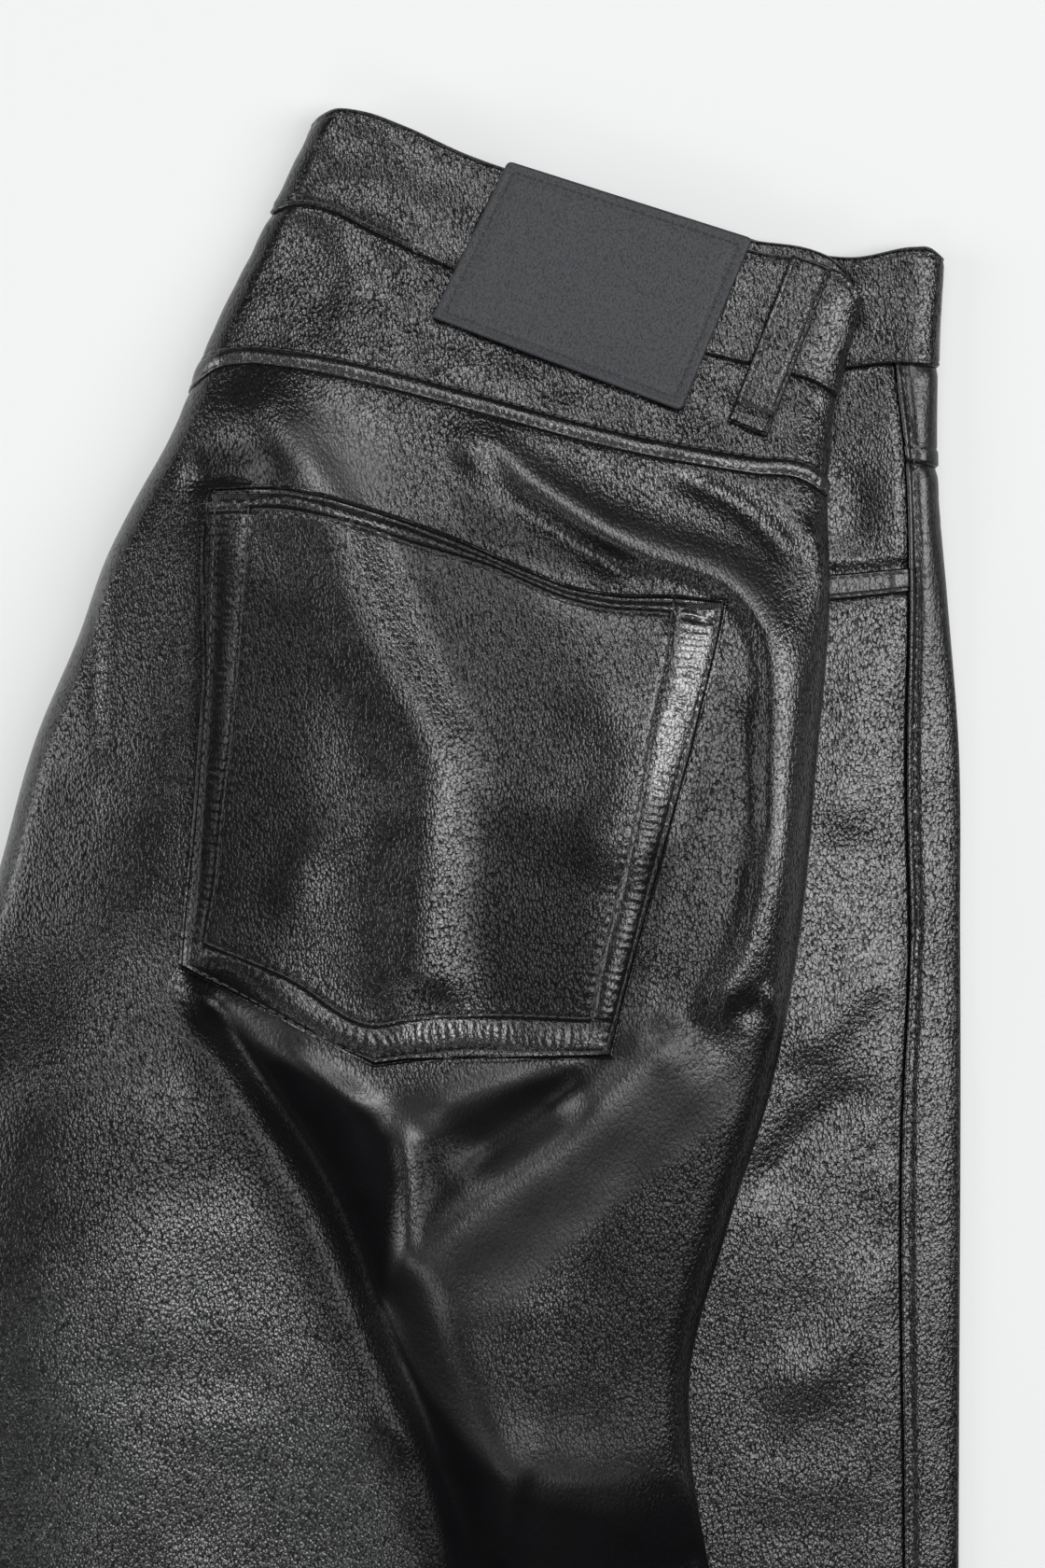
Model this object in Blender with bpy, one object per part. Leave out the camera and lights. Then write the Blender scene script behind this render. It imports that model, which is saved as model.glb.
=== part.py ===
"""Black leather five-pocket trousers, folded in half along the back seam with the seat outwards, lying flat.

The right leg lies on the left leg. Seen from above, the right back panel shows with its yoke, patch pocket,
plain leather patch and side belt loop. The left leg shows past its right edge: front panel, pocket mouth and
side seam.

Every piece is laid out in plan, in millimetres: "across" grows to the right, and "down" grows from the waist
to the hems. The finished frame has +X to the right, +Y towards the waist and +Z up, on a floor at Z = 0.
"""

import copy
import math

import bpy
import numpy as np

MM = 0.001
CENTRE_ACROSS = 128.7
CENTRE_DOWN = 583.8

# Driving sizes, in millimetres.
LEATHER = 2.0  # one layer of leather with its seam allowance
BAND = 3.0  # two layers, as in the waistband and hems
SEAM = 0.15  # half of the gap that neighbouring pieces keep at a seam
LAYER_GAP = 1.0  # between the two legs
CLEAR = 0.8  # round the hidden layers
ROOF_CLEAR = 1.2  # and as much again over the left leg's
HEM_HEIGHT = 26.0
RIGHT_HEM_DOWN = 1113.0
LEFT_HEM_DOWN = 1134.0
MOUTH_STAND = 0.6  # the turned pocket mouth stands proud of the leg's form
FACING_DEPTH = 0.8  # and the facing behind it lies this far inside that form
PATCH_THICKNESS = 2.2
PATCH_LIFT = 0.8
POCKET_LEATHER = 1.5
POCKET_LIFT = 0.3
LOOP_WIDTH = 13.0
LOOP_LIFT = 0.6
LOOP_ARCH = 0.9
FRONT_TUCK = 8.0  # the front panels' centre seam lies this far inside the back fold
WAIST_SLANT = 0.29  # how far the waist falls for each millimetre across
WAIST_START = 6.0  # and how far down it would start

LEATHER_BLACK = (0.014, 0.014, 0.015, 1.0)
PATCH_BLACK = (0.030, 0.031, 0.034, 1.0)


def curve(*rows):
    """A smooth curve through (place, value) rows, level beyond its ends."""
    place, value = np.array(rows, float).T
    slope = np.gradient(value, place)

    def at(p):
        p = np.clip(np.asarray(p, float), place[0], place[-1])
        i = np.clip(np.searchsorted(place, p) - 1, 0, len(place) - 2)
        step = place[i + 1] - place[i]
        t = (p - place[i]) / step
        rise = value[i + 1] - value[i]
        start, end = slope[i] * step, slope[i + 1] * step
        return value[i] + t * (start + t * (3 * rise - 2 * start - end + t * (start + end - 2 * rise)))

    return at


def smooth(t):
    t = np.clip(t, 0.0, 1.0)
    return t * t * (3 - 2 * t)


# The outline from above. Rows: down, across.
BACK_FOLD = curve(  # the back seam as far as the crotch, then the right leg's inseam
    (20, 103), (35, 96.6), (63, 83.6), (100, 65.3), (135, 51), (153, 41), (170, 32.5), (194, 24),
    (225, 11), (264, 0), (310, -13), (360, -28), (405, -36), (450, -38), (520, -33), (620, -22),
    (760, -10), (920, -2), (1114, 4),
)
RIGHT_SIDE = curve(  # the right leg's outer fold
    (20, 281), (60, 272), (91, 264), (123, 256), (148, 253.7), (185, 254), (233, 250), (284, 245),
    (331, 236.5), (378, 222), (419, 211.4), (442, 211.4), (479, 217), (520, 224), (580, 232),
    (650, 238), (750, 242), (900, 246), (1114, 250),
)
LEFT_INSEAM = curve(  # as BACK_FOLD to the crotch, then the left leg's inseam
    (20, 103), (35, 96.6), (63, 83.6), (100, 65.3), (135, 51), (153, 41), (170, 32.5), (194, 24),
    (225, 11), (264, 0), (310, -13), (360, -28), (405, -36), (450, -30), (500, -12), (560, 5),
    (650, 20), (760, 30), (920, 38), (1135, 44),
)
LEFT_SIDE = curve(  # the left leg's outer fold
    (60, 290), (76, 289.4), (110, 288), (148, 288), (184, 291), (228, 294.5), (287, 295),
    (480, 294.5), (700, 294), (1000, 292), (1135, 290),
)
SIDE_SEAM = curve(  # the left leg's side seam, on its upper face
    (70, 274), (111, 274.6), (135, 277.4), (176, 279), (240, 278.3), (288, 279.4), (342, 277.1),
    (480, 277.7), (700, 276), (1135, 272),
)
POCKET_LEFT = curve(
    (20, 116), (63, 100), (112, 78), (149.4, 64.4), (211, 62.6), (249, 60), (296, 55.7),
    (350, 54), (430, 62), (520, 74), (760, 78), (1114, 70),
)
POCKET_RIGHT = curve(
    (60, 232), (112, 226), (150, 223.5), (184, 222.4), (220, 214.4), (266, 202), (323.4, 187),
    (380, 176), (440, 166), (520, 168), (620, 178), (760, 184), (1114, 186),
)

# Lines across the garment. Rows: across, down.
RIGHT_WAIST = curve(
    (70, 40), (96.6, 34.6), (101.7, 33), (110.6, 33.7), (123.7, 38.3), (141, 46.3), (177, 58.6),
    (200, 67), (231, 76.6), (255, 81.7), (260, 84.5), (264, 91),
)
RIGHT_WAIST_SEAM = curve(
    (70, 72), (82.6, 65), (93, 62.8), (101.7, 65), (114.9, 71.7), (138.6, 82.6), (180, 97),
    (217.4, 108.9), (241.9, 114.7), (250, 117.5), (257, 122),
)
LEFT_WAIST = curve(
    (70, 40), (96.6, 34.6), (110, 35), (141, 45), (180, 57), (220, 69), (245, 76), (262, 77.9),
    (281, 74.8), (286, 75), (289.4, 77),
)
LEFT_WAIST_SEAM = curve(
    (70, 72), (82.6, 65), (93, 63), (130, 78), (180, 95), (220, 107), (245, 111.5), (259.7, 112.3),
    (273, 110.9), (288, 111.9),
)
RIGHT_YOKE_SEAM = curve(
    (50, 124), (58, 118.9), (66, 113.4), (75.4, 111.7), (87.9, 112.9), (117, 118.9), (146, 126.6),
    (186.6, 137.4), (208.5, 141.9), (230.3, 145.4), (247, 148), (253, 152),
)
LEFT_YOKE_SEAM = curve((50, 120), (120, 128), (200, 136), (278, 141), (289, 143))
POCKET_TOP = curve(
    (30, 147), (64.4, 149.4), (88.6, 149.4), (113.4, 155.7), (138.3, 164.3), (160, 173.7),
    (175, 179.6), (189, 182), (206, 182.4), (222.4, 184), (254, 188),
)
POCKET_BOTTOM = ((-20, 280), (55.7, 295.7), (115, 326), (125, 324.6), (187, 323.4), (250, 322))
PANEL_TOP = curve(  # the left front panel's upper edge: the waist seam, then past the pocket's mouth
    (70, 72.6), (93, 64), (130, 79), (180, 96), (194, 101.5), (201, 128), (208, 160), (215, 176),
    (225, 183), (240, 184), (255, 183.4), (279, 181),
)
POCKET_MOUTH = curve((200, 150), (215, 166), (225, 174), (240, 176), (255, 175.6), (279, 173.5))
# How far the right front's waistband stands above the right back's. It shows only near the side.
WAIST_STEP = curve((60, -1.0), (205, -1.0), (226, 3.2), (240, 4.0), (255, 3.4), (264, 3.0))
WAIST_TUCK = 1.0  # the left waist lies this far below the right one, where it is out of sight
WAIST_RELEASE = 30.0  # and is let go by this much near the side, where it shows
RELEASE_FROM, RELEASE_OVER = 205.0, 25.0

# Thickness of each leg when flat. Rows: distance below the waist, thickness.
RIGHT_THICKNESS = curve(
    (0, 9.8), (40, 11), (80, 14), (140, 17.5), (360, 18), (450, 17), (700, 15), (1000, 11),
    (1080, 9.6),
)
LEFT_THICKNESS = curve(
    (0, 9.4), (40, 10.4), (80, 13), (140, 15), (360, 15.5), (450, 14), (700, 12), (1000, 10),
    (1080, 9.4),
)
# How far the right leg swells in the middle, and how far it then falls away beside the back fold.
CROWN = curve((0, 0.3), (50, 1.2), (110, 4.6), (360, 5.2), (480, 3.5), (1000, 1), (1080, 0.2))
CROWN_POWER = 3.4  # the crown is flat in the middle and falls towards both edges
SHOULDER = curve((0, 1.5), (60, 4), (120, 6), (240, 6), (330, 3), (450, 1), (1080, 0.2))
SHOULDER_WIDTH = 50.0
# How far the left leg's upper face leans to the side seam, as a slope. Rows: down, slope.
LEFT_FALL = curve(
    (0, -0.05), (150, -0.03), (185, 0.07), (230, 0.15), (310, 0.15), (350, 0.12), (600, 0.1), (900, 0.03),
    (1050, 0), (1140, 0),
)
FALL_START = 10.0  # how far inside the right leg's edge that lean begins
# Width of the rounded edges seen from above. Rows: distance below the waist, width.
FOLD_ROUND = curve((0, 6), (60, 7), (150, 7.5), (380, 7), (470, 6.5), (1080, 6))
RIGHT_ROUND = curve((0, 13), (60, 12), (150, 10.5), (400, 10.5), (480, 9), (1080, 6))
LEFT_ROUND = curve((0, 8), (60, 8.5), (150, 10), (400, 9), (1080, 6))
# 1 where both legs share the back fold, 0 where they are two legs. Rows: down, share.
JOINED = curve((0, 1), (385, 1), (396, 1), (412, 0.6), (428, 0.25), (444, 0), (470, 0), (1140, 0))

# The largest folds in the right leg's upper face. A positive height is a ridge and a negative one a trough.
# Columns: points along it as (across, down), half-width on its right-hand side and on its left-hand side,
# height.
FOLDS = (
    (
        ((71, 112), (89, 138.6), (108, 176.6), (128, 219.4), (133, 238.6), (131, 280), (128, 314)),
        20, 10, 3.0,
    ),
    (
        ((138, 128), (156.6, 148), (183, 163.7), (211.4, 173), (230, 185.7), (237, 211.4), (235, 251.4),
         (229, 290), (210, 314)),
        7, 10, 3.0,
    ),
    (((60, 306), (86, 323), (103, 333), (121, 344)), 12, 8, 2.2),
    (((214, 312), (196, 327), (179, 342), (156, 361), (139, 376), (120, 400)), 9, 14, 3.0),
    (((0, 280), (6, 315), (9, 350), (9, 390), (8, 430), (8, 480), (12, 530), (32, 600)), 60, 84, 14.0),
    (
        ((55, 294), (70, 315), (86, 339), (100, 363), (110, 386), (117, 404), (129, 432), (139, 460),
         (146, 490), (154, 560)),
        9, 13, -8.0,
    ),
    (((110, 430), (150, 448), (180, 452), (215, 450)), 8, 34, 2.5),
    (((128, 492), (150, 500), (180, 502), (212, 498), (250, 492)), 60, 34, -11.0),
    (((60, 560), (100, 620), (140, 660), (180, 690)), 16, 16, 3.5),
    (((190, 600), (150, 680), (110, 715), (70, 740)), 12, 12, -2.5),
    (((40, 800), (110, 775), (160, 776), (210, 790)), 14, 14, 2.4),
    (((60, 860), (130, 900), (170, 950), (190, 1010)), 16, 16, 2.0),
)
# The same for the left leg's upper face.
LEFT_FOLDS = (
    (((240, 330), (262, 305), (274, 292)), 8, 8, 1.2),
    (((228, 372), (255, 340), (272, 330)), 8, 8, -1.4),
    (((230, 430), (252, 420), (270, 380)), 9, 9, 1.2),
    (((210, 520), (245, 560), (262, 640)), 12, 12, 1.4),
    (((268, 760), (255, 800), (262, 860)), 12, 12, -1.4),
)
FADE, FADE_LENGTH = 0.3, 18.0  # a fold fades at each end over this share of its length, or at least this far

UP, DOWN = 90.0, -90.0  # turns round an edge, in degrees: 0 points straight out of the side
SEAM_TURN = -25.0  # a leg's seams lie this far under its rounded edges
MEETING_TURN = 2.5  # the back panels end this far from the middle of the fold
DROOP_FROM, DROOP_OVER = 34.0, 26.0  # beside the left leg the right one sinks to the floor
RISE_FROM, RISE_OVER = 40.8, 52.0  # and its upper face sinks more gently
FOLD_FALL = 2.2  # the power by which the left leg's seam falls from the shared back fold to its own inseam
FLOOR_LIFT = 0.4
HIDDEN_SHARE = 0.4  # of the right leg's thickness is filled by its hidden layers
HIDDEN_START = 48.1  # how far down their upper end would start
COLLAR_RISE = 90.0  # the folds grow to their full height over this distance below the waist

LEFT_OF_POCKET, OVER_POCKET, RIGHT_OF_POCKET = 2, 9, 3  # columns of the right leg's face
UNDER_YOKE = 196.0  # down: from here the left leg's front and back panels share their lines
PARTING_FROM, PARTING, PARTING_TO = 396.0, 412.0, 444.0  # down: where the two legs come apart
MID_THIGH, KNEE = 540.0, 600.0  # down
MIDWAY = 150.0  # down: a first guess for where a line meets a column
ROUNDS = 30  # of better guesses


class Path:
    """A smooth line in plan through (across, down) points."""

    def __init__(self, points):
        knots = np.array(points, float)
        places = np.concatenate([[0], np.cumsum(np.hypot(*np.diff(knots, axis=0).T))])
        even = np.linspace(0, places[-1], int(places[-1] / 6) + 2)
        self.points = np.stack([curve(*zip(places, knots[:, k]))(even) for k in (0, 1)], axis=-1)
        self.lengths = np.hypot(*np.diff(self.points, axis=0).T)
        self.length = self.lengths.sum()

    def near(self, across, down):
        """Signed distance from the line, positive on its right-hand side, and the place along it."""
        plan = np.stack([across, down], axis=-1)
        signed, along = np.full(plan.shape[:-1], np.inf), np.zeros(plan.shape[:-1])
        passed = 0.0
        for start, end, length in zip(self.points, self.points[1:], self.lengths):
            unit = (end - start) / length
            offset = plan - start
            share = np.clip(offset @ unit, 0, length)
            distance = np.hypot(*np.moveaxis(offset - share[..., None] * unit, -1, 0))
            side = np.where(unit[0] * offset[..., 1] - unit[1] * offset[..., 0] >= 0, 1.0, -1.0)
            closer = distance < np.abs(signed)
            signed = np.where(closer, side * distance, signed)
            along = np.where(closer, passed + share, along)
            passed += length
        return signed, along


def read_folds(table):
    return [(Path(points), right, left, height) for points, right, left, height in table]


def fold_height(folds, across, down):
    """The folds' soft ridges and troughs together, each fading out at its two ends."""
    across, down = np.broadcast_arrays(across, down)
    total = np.zeros(across.shape)
    for path, right, left, height in folds:
        signed, along = path.near(across, down)
        width = np.where(signed > 0, right, left)
        reach = min(FADE * path.length, max(FADE_LENGTH, right, left))
        fade = smooth(along / reach) * smooth((path.length - along) / reach)
        total += height * fade * np.exp(-((signed / width) ** 2))
    return total


FOLDS = read_folds(FOLDS)
LEFT_FOLDS = read_folds(LEFT_FOLDS)


def below_waist(across, down):
    """Distance below the slanting waist, roughly square to it."""
    return down - (WAIST_START + WAIST_SLANT * np.clip(across, -60, 255))


class Leg:
    """One leg's outer surface: its two edges in plan, and the heights of its upper and lower faces."""

    def __init__(self, left, right, left_width, right_width, top, bottom):
        self.left, self.right = left, right
        self.left_width, self.right_width = left_width, right_width
        self.top, self.bottom = top, bottom

    def left_round(self, down):
        return self.left_width(below_waist(self.left(down), down))

    def right_round(self, down):
        return self.right_width(below_waist(self.right(down), down))

    def left_end(self, down):
        return self.left(down) + self.left_round(down)

    def right_end(self, down):
        return self.right(down) - self.right_round(down)


def left_top(across, down):
    fall = LEFT_FALL(down) * np.maximum(across - RIGHT_SIDE(down) + FALL_START, 0)
    return LEFT_THICKNESS(below_waist(across, down)) + fold_height(LEFT_FOLDS, across, down) - fall


def left_bottom(across, down):
    return 0.0 * across


def right_bottom(across, down):
    """On the left leg, and drooping to the floor beside it."""
    carried = smooth((across - LEFT_INSEAM(down) + DROOP_FROM) / DROOP_OVER)
    bumps = np.maximum(fold_height(LEFT_FOLDS, across, down), 0)
    return FLOOR_LIFT + (LEFT_THICKNESS(below_waist(across, down)) + LAYER_GAP - FLOOR_LIFT + bumps) * carried


def right_hollow(across, down):
    """The level inside the right leg that its hidden layers fill up to."""
    return right_bottom(across, down) + HIDDEN_SHARE * RIGHT_THICKNESS(below_waist(across, down)) - CLEAR


def right_top(across, down):
    below = below_waist(across, down)
    left, right = BACK_FOLD(down), RIGHT_SIDE(down)
    share = np.clip((across - left) / (right - left), 0, 1)
    crown = CROWN(below) * (1 - np.abs(2 * share - 1) ** CROWN_POWER)
    crown -= SHOULDER(below) * (1 - smooth((across - left) / SHOULDER_WIDTH))
    carried = smooth((across - LEFT_INSEAM(down) + RISE_FROM) / RISE_OVER)
    base = FLOOR_LIFT + (LEFT_THICKNESS(below) + LAYER_GAP - FLOOR_LIFT) * carried
    folds = smooth(below / COLLAR_RISE) * fold_height(FOLDS, across, down)
    formed = base + RIGHT_THICKNESS(below) + crown + folds
    return np.maximum(formed, right_hollow(across, down) + LEATHER + 2 * CLEAR)


RIGHT_LEG = Leg(BACK_FOLD, RIGHT_SIDE, FOLD_ROUND, RIGHT_ROUND, right_top, right_bottom)
LEFT_LEG = Leg(LEFT_INSEAM, LEFT_SIDE, FOLD_ROUND, LEFT_ROUND, left_top, left_bottom)


def tucked(leg, inset):
    """The same leg with its left edge moved in where the legs share the back fold."""
    made = copy.copy(leg)
    made.left = lambda down: leg.left(down) + JOINED(down) * inset
    return made


class Column:
    """A line of points down a leg: on a face, or at a turn round one of its edges (side -1 is the left)."""

    def __init__(self, place, turn=UP, side=0):
        self.place, self.side = place, side
        self.turn = turn if callable(turn) else lambda down: turn + 0.0 * down


def edge_columns(leg, side, first_turn, last_turn, count):
    """Columns round an edge, from one turn to another. A turn may depend on the place down the leg."""
    edge, width = (leg.left, leg.left_round) if side < 0 else (leg.right, leg.right_round)
    first, last = Column(edge, first_turn).turn, Column(edge, last_turn).turn
    made = []
    for share in np.linspace(0, 1, count):
        turn = lambda down, s=share: (1 - s) * first(down) + s * last(down)

        def place(down, turn=turn):
            out = np.cos(np.radians(turn(down)))
            return edge(down) - side * width(down) * (1 - out)

        made.append(Column(place, turn, side))
    return made


def face_columns(first, last, count, ends=(False, False), turn=UP):
    """Columns evenly spaced between two lines, with or without those lines themselves."""
    shares = np.linspace(0, 1, count + 1)
    shares = shares[0 if ends[0] else 1 : len(shares) if ends[1] else -1]
    return [Column(lambda down, s=s: (1 - s) * first(down) + s * last(down), turn) for s in shares]


def lines_between(first, last, count, gaps=(0.0, 0.0), with_last=True):
    """Lines across from one to another, less a gap at each end."""
    made = []
    for share in np.linspace(0, 1, count + 1)[: None if with_last else -1]:
        shift = gaps[0] * (1 - share) - gaps[1] * share
        made.append(lambda across, s=share, shift=shift: (1 - s) * first(across) + s * last(across) + shift)
    return made


def level(down):
    return lambda across: np.full(np.shape(across), float(down))


class Grid:
    """Points where lines meet columns, with the direction that faces out of the leather at each."""

    def __init__(self, leg, lines, columns, middle=None):
        self.columns = columns
        self.across = np.zeros((len(lines), len(columns)))
        self.down = np.zeros_like(self.across)
        for k, column in enumerate(columns):
            down = np.full(len(lines), MIDWAY)
            for _ in range(ROUNDS):
                across = np.asarray(column.place(down), float)
                down = np.array([float(line(a)) for line, a in zip(lines, across)])
            self.across[:, k], self.down[:, k] = column.place(down), down
        self.side = np.array([column.side for column in columns]) + 0 * self.across
        turn = np.array([column.turn(self.down[:, k]) for k, column in enumerate(columns)]).T
        self.out, self.up = np.cos(np.radians(turn)), np.sin(np.radians(turn))
        top, bottom = leg.top(self.across, self.down), leg.bottom(self.across, self.down)
        centre = (top + bottom) / 2 if middle is None else middle(self, top, bottom)
        self.height = centre + self.up * np.where(self.up >= 0, top - centre, centre - bottom)

    def points(self, depth=0.0):
        """The points moved into the leather by a depth, or out of it by a negative one."""
        depth = np.broadcast_to(depth, self.across.shape)
        across = self.across - depth * self.out * self.side
        return frame_points(across, self.down, self.height - depth * self.up)

    def part(self, rows, columns):
        """A copy that holds only some rows and columns."""
        made = object.__new__(Grid)
        made.columns = self.columns[columns]
        for name in ("across", "down", "side", "out", "up", "height"):
            setattr(made, name, getattr(self, name)[rows, columns])
        return made


def frame_points(across, down, height):
    return np.stack([(across - CENTRE_ACROSS) * MM, (CENTRE_DOWN - down) * MM, height * MM], axis=-1)


# ---- Solids ----


def grid_faces(rows, columns, ring=False):
    """Two triangles for each cell, split the same way everywhere, so that walls and pockets stay parallel."""
    faces = []
    for i in range(rows - 1):
        for j in range(columns if ring else columns - 1):
            k = (j + 1) % columns
            here, next_row = i * columns, (i + 1) * columns
            faces.append((here + j, next_row + j, next_row + k))
            faces.append((here + j, next_row + k, here + k))
    return faces


def add_object(name, points, faces, material):
    mesh = bpy.data.meshes.new(name)
    mesh.from_pydata([tuple(p) for p in points], [], faces)
    mesh.materials.append(material)
    mesh.shade_smooth()
    made = bpy.data.objects.new(name, mesh)
    bpy.context.scene.collection.objects.link(made)


def add_wall(name, outer, inner, material, ring=False):
    """A closed wall between two matching grids of points. In a ring, the last column meets the first."""
    rows, columns = outer.shape[:2]
    inside = rows * columns
    faces = grid_faces(rows, columns, ring)
    faces += [tuple(inside + v for v in reversed(face)) for face in faces]
    first_row = list(range(columns))
    last_row = [(rows - 1) * columns + j for j in first_row]
    if ring:
        rims = [first_row[::-1] + [columns - 1], last_row + [last_row[0]]]
    else:
        left = [i * columns for i in range(rows)]
        right = [i * columns + columns - 1 for i in range(rows)]
        rims = [left[:-1] + last_row[:-1] + right[:0:-1] + first_row[:0:-1] + [0]]
    for rim in rims:
        faces += [(a, a + inside, b + inside, b) for a, b in zip(rim, rim[1:])]
    add_object(name, np.concatenate([outer.reshape(-1, 3), inner.reshape(-1, 3)]), faces, material)


def add_filled(name, rings, material):
    """A closed solid through rings of points, with flat ends."""
    count = rings.shape[1]
    last = (len(rings) - 1) * count
    faces = grid_faces(len(rings), count, ring=True)
    faces.append(tuple(range(count)))
    faces.append(tuple(last + j for j in reversed(range(count))))
    add_object(name, rings.reshape(-1, 3), faces, material)


def leather(name, colour, roughness):
    material = bpy.data.materials.new(name)
    material.use_nodes = True
    shader = material.node_tree.nodes["Principled BSDF"]
    shader.inputs["Base Color"].default_value = colour
    shader.inputs["Roughness"].default_value = roughness
    shader.inputs["Metallic"].default_value = 0.0
    return material


# ---- The right leg, which lies on top ----


def right_middle(grid, top, bottom):
    """Level of the side seams: at the back fold that is half the whole stack."""
    joined = JOINED(grid.down)
    stacked = joined * top / 2 + (1 - joined) * (top + bottom) / 2
    return np.where(grid.side < 0, stacked, (top + bottom) / 2)


def right_fold_turn(down):
    """Where the right back panel ends at its left edge: at the back seam, then at the inseam underneath."""
    joined = JOINED(down)
    return joined * MEETING_TURN + (1 - joined) * SEAM_TURN


def right_columns():
    columns = edge_columns(RIGHT_LEG, -1, right_fold_turn, UP, 5)
    columns += face_columns(RIGHT_LEG.left_end, POCKET_LEFT, LEFT_OF_POCKET)
    columns += face_columns(POCKET_LEFT, POCKET_RIGHT, OVER_POCKET, (True, True))
    columns += face_columns(POCKET_RIGHT, RIGHT_LEG.right_end, RIGHT_OF_POCKET)
    return columns + edge_columns(RIGHT_LEG, 1, UP, SEAM_TURN, 6)


def pocket_bottom(across):
    place, down = np.array(POCKET_BOTTOM, float).T
    return np.interp(across, place, down)


YOKE_LINES = lines_between(RIGHT_WAIST_SEAM, RIGHT_YOKE_SEAM, 4, (1.6 * SEAM, SEAM))
ABOVE_POCKET = lines_between(RIGHT_YOKE_SEAM, POCKET_TOP, 3, (SEAM, 0), with_last=False)
POCKET_LINES = lines_between(POCKET_TOP, pocket_bottom, 12)
BELOW_POCKET = lines_between(pocket_bottom, level(PARTING), 7)[1:]
BELOW_POCKET += lines_between(level(PARTING), level(MID_THIGH), 8)[1:]
BELOW_POCKET += lines_between(level(MID_THIGH), level(RIGHT_HEM_DOWN - HEM_HEIGHT - SEAM), 10)[1:]
RIGHT_PANEL_LINES = ABOVE_POCKET + POCKET_LINES + BELOW_POCKET


def build_right_back(material):
    """The yoke, the back panel and its patch pocket, which is the panel's own surface moved out."""
    columns = right_columns()
    yoke = Grid(RIGHT_LEG, YOKE_LINES, columns, right_middle)
    add_wall("yoke_right", yoke.points(), yoke.points(LEATHER), material)
    panel = Grid(RIGHT_LEG, RIGHT_PANEL_LINES, columns, right_middle)
    add_wall("back_panel_right", panel.points(), panel.points(LEATHER), material)
    first = next(k for k, column in enumerate(columns) if column.side == 0) + LEFT_OF_POCKET - 1
    rows = slice(len(ABOVE_POCKET), len(ABOVE_POCKET) + len(POCKET_LINES))
    pocket = panel.part(rows, slice(first, first + OVER_POCKET + 1))
    outer = pocket.points(-POCKET_LIFT - POCKET_LEATHER)
    add_wall("back_pocket_right", outer, pocket.points(-POCKET_LIFT), material)


def hidden_start(across):
    """The hidden layers' upper end: straight across, just below the waistband's seam."""
    return HIDDEN_START + WAIST_SLANT * across


def build_right_hidden_layers(material):
    """The right front panel with its pocket bag: one rounded solid inside the folded leg.

    Its lower side carries on round the leg's underside from the back panel's seams.
    """
    lines = [hidden_start] + YOKE_LINES[2:-1] + RIGHT_PANEL_LINES
    lines[-1] = level(RIGHT_HEM_DOWN - HEM_HEIGHT - SEAM)
    under = SEAM_TURN - 2 * MEETING_TURN
    leg = tucked(RIGHT_LEG, FRONT_TUCK + LEATHER)

    def past_inseam(least, shift):
        """Beside the left leg's inseam, where the right leg starts to sink to the floor."""
        return lambda down: np.maximum(leg.left_end(down) + least, LEFT_INSEAM(down) + shift)

    inside = LEATHER + CLEAR
    parts = (
        (edge_columns(leg, -1, DOWN, under, 3), 0.0),
        (edge_columns(leg, -1, under + MEETING_TURN, 0.0, 2), inside),
        (face_columns(leg.left_end, leg.right_end, 8, (True, True)), 0.0),
        (edge_columns(leg, 1, 0.0, under + MEETING_TURN, 2), inside),
        (edge_columns(leg, 1, under, DOWN, 3), 0.0),
        (face_columns(leg.right_end, past_inseam(9.0, 6.0), 6, (False, True), DOWN), 0.0),
        ([Column(past_inseam(6.0, -9.0), DOWN), Column(past_inseam(3.0, -22.0), DOWN)], 0.0),
    )
    rings = []
    for columns, depth in parts:
        grid = Grid(leg, lines, columns)
        grid.across = grid.across - depth * grid.out * grid.side
        grid.down[0] = hidden_start(grid.across[0])
        grid.height = np.minimum(grid.height - depth * grid.up, right_hollow(grid.across, grid.down))
        rings.append(grid.points())
    add_filled("hidden_layers_right", np.concatenate(rings, axis=1), material)


def add_hem(name, leg, bottom_down, material):
    """A folded hem: one flattened ring of doubled leather."""
    top = lines_between(level(bottom_down - HEM_HEIGHT), level(bottom_down), 1, (SEAM, 0))
    turn = 60.0
    parts = (
        edge_columns(leg, -1, -turn, turn, 5),
        face_columns(leg.left_end, leg.right_end, 9, (True, True)),
        edge_columns(leg, 1, turn, -turn, 5),
        face_columns(leg.right_end, leg.left_end, 9, (True, True), DOWN),
    )
    outer, inner = [], []
    for columns in parts:
        grid = Grid(leg, top, columns)
        outer.append(grid.points())
        inner.append(grid.points(BAND))
    add_wall(name, np.concatenate(outer, axis=1), np.concatenate(inner, axis=1), material, ring=True)


# ---- The left leg, which lies on the floor ----


def left_middle(grid, top, bottom):
    """Level of the side seams. At the back fold it falls quickly from half the stack to half the leg."""
    joined = np.where(grid.side < 0, JOINED(grid.down) ** FOLD_FALL, 0.0)
    return joined * right_top(grid.across, grid.down) / 2 + (1 - joined) * top / 2


def left_back_columns():
    """From the side seam over the right edge, along the floor and up to the back seam or the inseam."""
    columns = [Column(lambda down: SIDE_SEAM(down) + SEAM)]
    columns += edge_columns(LEFT_LEG, 1, UP, DOWN, 7)
    columns += face_columns(LEFT_LEG.right_end, LEFT_LEG.left_end, 7, turn=DOWN)
    return columns + edge_columns(LEFT_LEG, -1, DOWN, -MEETING_TURN, 5)


MOUTH_FROM = 220.0  # left end of the front pocket's mouth


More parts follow.
